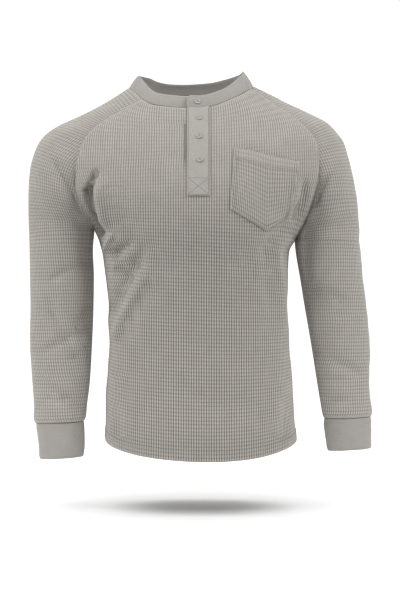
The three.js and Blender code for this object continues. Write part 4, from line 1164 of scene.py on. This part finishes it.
# ---------------------------------------------------------------- cuffs
def build_cuff(side, name):
    rows = CUFF[side]
    cols = {n: row_curve(rows, n) for n in rows[0]}
    half = 60
    rings_out, rings_in = [], []
    steps = 24
    for k in range(steps + 1):
        t = (len(rows) - 1) * k / steps
        v = {n: float(cols[n](t)) for n in cols}
        a, c = np.array([v["ix"], v["yc"], v["iz"]]), np.array([v["ox"], v["yc"], v["oz"]])
        ring = np.concatenate([half_arc(a, c, v["deep"], -1, half, False), half_arc(a, c, v["deep"], 1, half, False)[::-1][1:-1]])
        middle, along = (a + c) / 2, unit(c - a)
        r = ring - middle
        al = r @ along
        hw = np.linalg.norm(c - a) / 2
        n = unit(along[None] * (al / hw ** 2)[:, None] + np.stack([np.zeros(len(ring)), (ring[:, 1] - v["yc"]) / v["deep"] ** 2, np.zeros(len(ring))], -1))
        h = k / steps
        bulge = 0.9 * math.sin(math.pi * h) - 0.6 * math.exp(-(h / 0.06) ** 2) - 0.9 * math.exp(-((1 - h) / 0.05) ** 2)
        wr = 0.8 * math.exp(-((h - 0.16) / 0.07) ** 2) * np.cos(np.arctan2(ring[:, 1] - v["yc"], al) * 2 + 1.0) * (1 if side == "right" else 0.6)
        wr = wr + 0.6 * wander(ring, 38, 11 if side == "left" else 12)
        rings_out.append(ring + n * (bulge + wr)[:, None])
        rings_in.append(ring + n * (bulge * 0.3 + wr - CUFF_WALL * (1 - 0.5 * math.exp(-((1 - h) / 0.05) ** 2)))[:, None])
    down = unit(rings_out[-1] - rings_out[-3]) * 0.5
    roll = (rings_out[-1] + rings_in[-1]) / 2 + down
    sections = np.stack(rings_out + [roll] + rings_in[::-1], 1)   # around, along section
    o = closed_profile(name, None, sections, ring=True)
    face_out(o)
    return o, rings_out


cuff_l, cuff_l_rings = build_cuff("left", "cuff_right")
cuff_r, cuff_r_rings = build_cuff("right", "cuff_left")
declare(cuff_l, "cuff_right", rib_shaded_cuff)
declare(cuff_r, "cuff_left", rib_shaded_cuff)
CUFF_CUT = {}
for o, rings in ((cuff_l, cuff_l_rings), (cuff_r, cuff_r_rings)):
    around = [np.linalg.norm(np.roll(g, -1, 0) - g, axis=1).sum() for g in rings]
    high = np.linalg.norm(np.diff(np.stack(rings), axis=0), axis=2).sum(0)
    CUFF_CUT[o.name] = (float(np.mean(around)) / 1000, float(np.mean(high)) / 1000)


# ---------------------------------------------------------------- stitches
def stitches(name, runs, long=2.0, gap=0.75, thick=0.28, mat=None):
    """Short thread capsules along polylines of (points, normals)."""
    verts, faces = [], []
    sides, caps = 5, 0
    for pts, nrm in runs:
        pts, nrm = np.asarray(pts), np.asarray(nrm)
        s = np.concatenate([[0], np.cumsum(np.linalg.norm(np.diff(pts, axis=0), axis=1))])
        at = lambda q: np.array([np.interp(q, s, pts[:, c]) for c in range(3)])
        an = lambda q: unit(np.array([np.interp(q, s, nrm[:, c]) for c in range(3)]))
        q = 0.4
        while q + long < s[-1]:
            a, b = at(q), at(q + long)
            n = an(q + long / 2)
            d = unit(b - a)
            w = unit(np.cross(d, n))
            base = len(verts)
            for share, rad, up in ((0.0, 0.35, -0.25), (0.18, 0.95, 0.1), (0.82, 0.95, 0.1), (1.0, 0.35, -0.25)):
                c = a + (b - a) * share + n * (up * thick * 1.2 + 0.1)
                for i in range(sides):
                    t = 2 * math.pi * i / sides
                    verts.append(c + (w * math.cos(t) + n * math.sin(t)) * thick * rad)
            for r in range(3):
                for i in range(sides):
                    j = (i + 1) % sides
                    faces.append((base + r * sides + i, base + (r + 1) * sides + i, base + (r + 1) * sides + j, base + r * sides + j))
            faces.append(tuple(base + i for i in range(sides)))
            faces.append(tuple(base + 3 * sides + i for i in range(sides))[::-1])
            q += long + gap
    o = make_object(name, np.array(verts), faces, True)
    return extra(face_out(o), mat or thread)


def line_on_front(points, lift):
    """A polyline of x, z on the front's finished surface."""
    pts = []
    for (x0, z0), (x1, z1) in zip(points[:-1], points[1:]):
        n = max(2, int(math.hypot(x1 - x0, z1 - z0) / 1.0))
        for i in range(n):
            pts.append((mix(x0, x1, i / n), mix(z0, z1, i / n)))
    pts.append(points[-1])
    pts = np.array(pts)
    return laid(pts[:, 0], pts[:, 1], np.full(len(pts), float(lift)))


def offset_panel_row(p1, n1, step, up_mm, lift):
    r = up_mm / step
    i = int(r)
    f = r - i
    return (1 - f) * p1[i] + f * p1[i + 1] + n1[i] * lift, n1[i]


runs = []
for p1, n1, step in ((front_p, front_n, front_step), (back_p, back_n, back_step)):
    for up_mm in (17.0, 21.0):
        runs.append(offset_panel_row(p1, n1, step, up_mm, 0.15))
stitches("hem_stitches", runs, mat=seam_thread)
foot, topz = PLACKET["foot"], None
px0, px1 = PLACKET["left"], PLACKET["right"]
lift = 0.55 + 1.9 + 0.02
box_top = foot + 32
edge_in = 2.2
runs = [
    line_on_front([(px0 + edge_in, -50), (px0 + edge_in, foot + 2.5)], lift),
    line_on_front([(px1 - edge_in, -50), (px1 - edge_in, foot + 2.5)], lift),
    line_on_front([(px0 + edge_in, foot + 2.5), (px1 - edge_in, foot + 2.5)], lift),
    line_on_front([(px0 + edge_in, box_top), (px1 - edge_in, box_top)], lift),
    line_on_front([(px0 + edge_in, foot + 2.5), (px1 - edge_in, box_top)], lift),
    line_on_front([(px0 + edge_in, box_top), (px1 - edge_in, foot + 2.5)], lift),
]
placket_stitch = stitches("placket_stitches", runs, long=2.4, gap=0.5, thick=0.3, mat=seam_thread)
pl = LAY_GAP + 0.5 + 1.6


def pocket_run(pairs, lift_):
    t, h = np.array([a for a, b in pairs]), np.array([b for a, b in pairs])
    X, Z = pocket_share(t, h)
    gape = 1.3 * np.sin(np.pi * t) * ease(0.75, 1, h)
    return laid(X, Z, lift_ + gape)


side_in = 0.03
runs = []
for inset in (0.022, 0.062):
    pairs = [(inset, h) for h in np.linspace(0.995, 0.035, 100)]
    runs.append(pocket_run(pairs, pl - 0.1))
    pairs = [(1 - inset, h) for h in np.linspace(0.995, 0.035, 100)]
    runs.append(pocket_run(pairs, pl - 0.1))
for lifted in (0.022, 0.06):
    pairs = [(t, lifted) for t in np.linspace(0.02, 0.98, 160)]
    runs.append(pocket_run(pairs, pl - 0.1))
pairs = [(t, 1 - 17.5 / 112) for t in np.linspace(0.02, 0.98, 120)]
runs.append(pocket_run(pairs, pl + 0.05))
pocket_stitch = stitches("pocket_stitches", runs, mat=seam_thread)
# points 3 mm below the neckband's foot and 0.5 mm out, which nothing uses
below = band_path + band_n * 0.5 - band_up / np.linalg.norm(band_up, axis=1, keepdims=True) * 3.0


# ---------------------------------------------------------------- buttons
HOLE = 1.75      # from the button's middle to each hole


def build_button(name, centre, n, spin=0.0):
    """Two-hole button with a raised rim, turned on its own axis; gives back its turn and centre and the dark wells of
    its holes, which are painted shade.
    """
    R, T = 5.6, 2.0
    prof = [(0.0, T * 0.62), (1.6, T * 0.62), (2.9, T * 0.66), (3.5, T * 0.76), (4.1, T * 0.95), (4.75, T), (5.25, T * 0.9), (R, T * 0.62),
            (R, T * 0.38), (5.2, T * 0.1), (4.2, 0.0), (0.0, 0.0)]
    seg = 48
    verts, faces = [], []
    ring_ids = []
    for r, z in prof:
        if r == 0:
            ring_ids.append([len(verts)])
            verts.append((0, 0, z))
        else:
            ring_ids.append(list(range(len(verts), len(verts) + seg)))
            for i in range(seg):
                a = 2 * math.pi * i / seg
                verts.append((r * math.cos(a), r * math.sin(a), z))
    for A, B in zip(ring_ids[:-1], ring_ids[1:]):
        for i in range(seg):
            j = (i + 1) % seg
            if len(A) == 1:
                faces.append((A[0], B[i], B[j]))
            elif len(B) == 1:
                faces.append((A[i], B[0], A[j]))
            else:
                faces.append((A[i], B[i], B[j], A[j]))
    me = bpy.data.meshes.new(name)
    me.from_pydata([tuple(c / 1000 for c in v) for v in verts], [], faces)
    me.polygons.foreach_set("use_smooth", np.full(len(me.polygons), True))
    me.update()
    o = bpy.data.objects.new(name, me)
    bpy.context.scene.collection.objects.link(o)
    rot = Vector((0, 0, 1)).rotation_difference(Vector(n))
    o.rotation_mode = "QUATERNION"
    from mathutils import Quaternion
    o.rotation_quaternion = rot @ Quaternion((0, 0, 1), spin)
    o.location = Vector(centre) / 1000
    bpy.context.view_layer.update()
    o.data.transform(o.matrix_world)
    o.matrix_world.identity()
    o.rotation_quaternion = (1, 0, 0, 0)
    o.location = (0, 0, 0)
    face_out(o)
    declare(o, name, button_mat)
    # the holes' dark wells, painted shade where the holes go down
    q = rot @ Quaternion((0, 0, 1), spin)
    hv, hf = [], []
    for s in (-1, 1):
        base = len(hv)
        cx, cy = s * HOLE * 0.75, -s * HOLE * 0.66
        for i in range(16):
            a = 2 * math.pi * i / 16
            hv.append(Vector((cx + 0.85 * math.cos(a), cy + 0.85 * math.sin(a), T * 0.62 + 0.05)))
        for i in range(16):
            a = 2 * math.pi * i / 16
            hv.append(Vector((cx + 0.80 * math.cos(a), cy + 0.80 * math.sin(a), T * 0.62 - 0.4)))
        hf.append(tuple(range(base, base + 16)))
        hf.append(tuple(range(base + 16, base + 32))[::-1])
        for i in range(16):
            j = (i + 1) % 16
            hf.append((base + i, base + 16 + i, base + 16 + j, base + j))
    return q, Vector(centre), hv, hf


wells_v, wells_f, tie_v, tie_f = [], [], [], []
spots = [("button_1", -4.2, None), ("button_2", -1.4, -69.5), ("button_3", -1.4, -105.0), ("button_4", -0.6, -149.0)]
for name, x, z in spots:
    if z is None:
        p = at_front(np.array([x]))
        away, up, n = band_frame(p)
        c = (p + up * 0.52 + n * (1.1 + 0.5 + 0.35))[0]
        n = n[0]
    else:
        c, n = laid(np.array([x]), np.array([z]), np.array([0.55 + 1.9 + 0.1]))
        c, n = c[0], n[0]
    q, centre, hv, hf = build_button(name, c, n)
    base = len(wells_v)
    for v in hv:
        wells_v.append(((q @ v) + centre)[:])
    wells_f += [tuple(base + i for i in f) for f in hf]
    # thread bar from hole to hole
    base = len(tie_v)
    a, b = Vector((-HOLE * 0.75, HOLE * 0.66, 0)), Vector((HOLE * 0.75, -HOLE * 0.66, 0))
    d = (b - a).normalized()
    w = d.cross(Vector((0, 0, 1)))
    for off in (-0.28, 0.28):
        b0 = len(tie_v)
        for share, up_ in ((0.0, 1.1), (0.2, 1.5), (0.8, 1.5), (1.0, 1.1)):
            c0 = a.lerp(b, share) + w * off + Vector((0, 0, up_))
            for i in range(6):
                t = 2 * math.pi * i / 6
                v = c0 + (w * math.cos(t) + Vector((0, 0, 1)) * math.sin(t)) * 0.24
                tie_v.append(((q @ v) + centre)[:])
        for r in range(3):
            for i in range(6):
                j = (i + 1) % 6
                tie_f.append((b0 + r * 6 + i, b0 + (r + 1) * 6 + i, b0 + (r + 1) * 6 + j, b0 + r * 6 + j))
        tie_f.append(tuple(b0 + i for i in range(6)))
        tie_f.append(tuple(b0 + 18 + i for i in range(6))[::-1])
# the near-black hole wells are painted shade inside the buttons' holes
painted_hole_shade = make_object("button_hole_shade", np.array(wells_v), wells_f, False)
extra(face_out(painted_hole_shade), plain_material("hole", srgb(58, 54, 50), 0.8, 0.1))
ties = make_object("button_threads", np.array(tie_v), tie_f, True)
extra(face_out(ties), thread)


# ---------------------------------------------------------------- cut of each cloth piece
def mean_len(p1, axis):
    seg = np.linalg.norm(np.diff(p1, axis=axis), axis=2).sum(axis)
    return float(seg.max() / 1000), float(seg.mean() / 1000)


def area_of(p1):
    a = p1[:-1, :-1]
    b = p1[:-1, 1:]
    c = p1[1:, 1:]
    d = p1[1:, :-1]
    return float((np.linalg.norm(np.cross(b - a, c - a), axis=2) + np.linalg.norm(np.cross(c - a, d - a), axis=2)).sum() / 2e6)


cuts = {}
for o, p1, rest in ((front, front_p, ["neckband"]), (back, back_p, ["neckband"]), (sleeve_l, arm_l_p, ["neckband"]), (sleeve_r, arm_r_p, ["neckband"]),
                    (pocket, pocket_p, ["front"])):
    w, l, ar = mean_len(p1, 1)[0], mean_len(p1, 0)[0], area_of(p1)
    flat = (round(w, 3), round(l, 3))
    ar = min(ar, 0.999 * flat[0] * flat[1])
    cuts[o.name] = (flat, round(ar, 4))
    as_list(rest)


def strip_cut(o, flat):
    cuts[o.name] = (flat, round(flat[0] * flat[1], 4))


band_high = float(np.linalg.norm(band_up, axis=1).mean() / 1000)
strip_cut(band, (round(float(band_s[-1]) / 1000, 3), round(band_high, 3)))
strip_cut(placket, (round((PLACKET["right"] - PLACKET["left"]) / 1000, 3), 0.161))
strip_cut(placket_under, (round((PLACKET["right"] + 5 - PLACKET["left"] - 4) / 1000, 3), 0.155))
for o in (cuff_l, cuff_r):
    around, high = CUFF_CUT[o.name]
    strip_cut(o, (round(around, 3), round(high, 3)))


# ---------------------------------------------------------------- stage, light and camera
FLOOR_Z = -0.796


def flat_mesh(name, corners):
    me = bpy.data.meshes.new(name)
    me.from_pydata(corners, [], [(0, 1, 2, 3)])
    o = bpy.data.objects.new(name, me)
    bpy.context.scene.collection.objects.link(o)
    return o


floor = flat_mesh("floor", [(-0.8, -0.82, FLOOR_Z), (0.8, -0.82, FLOOR_Z), (0.8, 0.95, FLOOR_Z), (-0.8, 0.95, FLOOR_Z)])
floor.data.materials.append(plain_material("floor", (0.95, 0.95, 0.95, 1), 1.0, 0.0))
sweep = flat_mesh("sweep", [(-9, 0.95, FLOOR_Z), (9, 0.95, FLOOR_Z), (9, 3.2, FLOOR_Z), (-9, 3.2, FLOOR_Z)])
wall = flat_mesh("backdrop", [(-9, 3.2, FLOOR_Z - 1), (9, 3.2, FLOOR_Z - 1), (9, 3.2, 6), (-9, 3.2, 6)])
m = bpy.data.materials.new("backdrop")
m.use_nodes = True
m.node_tree.nodes.clear()
em = m.node_tree.nodes.new("ShaderNodeEmission")
em.inputs["Strength"].default_value = 1.08
mo = m.node_tree.nodes.new("ShaderNodeOutputMaterial")
m.node_tree.links.new(em.outputs[0], mo.inputs[0])
wall.data.materials.append(m)
sweep.data.materials.append(m)

world = bpy.data.worlds.new("world")
bpy.context.scene.world = world
world.use_nodes = True
world.node_tree.nodes["Background"].inputs[0].default_value = (1, 1, 1, 1)
world.node_tree.nodes["Background"].inputs[1].default_value = 0.235


def area_light(name, loc, target, size, power, colour=(1, 1, 1)):
    l = bpy.data.lights.new(name, "AREA")
    l.shape = "RECTANGLE"
    l.size, l.size_y = size
    l.energy = power
    l.color = colour
    o = bpy.data.objects.new(name, l)
    o.location = loc
    o.rotation_euler = (Vector(target) - Vector(loc)).to_track_quat("-Z", "Y").to_euler()
    bpy.context.scene.collection.objects.link(o)
    return o


overhead = area_light("overhead", (0.0, -0.4, 2.6), (0, 0, -0.4), (2.4, 1.6), 15)
left_box = area_light("left_box", (-2.5, -1.2, 1.2), (0, 0, -0.3), (1.2, 1.8), 66)
right_box = area_light("right_box", (2.5, -1.2, 1.2), (0, 0, -0.3), (1.2, 1.8), 62)
front_box = area_light("front_box", (0.0, -2.3, 1.0), (0, 0, -0.3), (1.4, 1.0), 11.3)
neck_light = area_light("neck_light", (-0.01, 0.04, -0.13), (-0.01, 0.12, -0.08), (0.18, 0.04), 0.075)
floor_light = area_light("floor_light", (0.0, -0.5, 2.1), (0, -0.05, -0.8), (4.6, 4.2), 165)

# the light that makes the floor's soft shadow shines on the floor only
only_floor = bpy.data.collections.new("floor_only")
only_floor.objects.link(floor)
floor_light.light_linking.receiver_collection = only_floor
not_floor = bpy.data.collections.new("not_floor")
not_floor.objects.link(floor)
not_floor.collection_objects[0].light_linking.link_state = "EXCLUDE"
for lamp in (overhead, left_box, right_box, front_box):
    lamp.light_linking.receiver_collection = not_floor
# the neck's inside gets a little light of its own
neck_inside = bpy.data.collections.new("neck_inside")
neck_inside.objects.link(band)
neck_light.light_linking.receiver_collection = neck_inside
neck_light.visible_camera = False

cam = bpy.data.cameras.new("camera")
cam_o = bpy.data.objects.new("camera", cam)
bpy.context.scene.collection.objects.link(cam_o)
cam_o.location = (0, -2.5, -0.4028)
cam_o.rotation_euler = (math.pi / 2, 0, 0)
cam.sensor_fit = "VERTICAL"
cam.sensor_height = 24
cam.lens = 52.63
cam.clip_end = 50
bpy.context.scene.camera = cam_o
sc = bpy.context.scene
sc.view_settings.view_transform = "Standard"
sc.view_settings.look = "None"
sc.view_settings.exposure = 0.0
sc.view_settings.gamma = 1.0
sc.cycles.filter_width = 1.3

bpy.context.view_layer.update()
for o in (front, back, sleeve_l, sleeve_r, pocket, band, placket, placket_under, cuff_l, cuff_r):
    print(o.name, sum(len(p.vertices) - 2 for p in o.data.polygons), cuts.get(o.name))
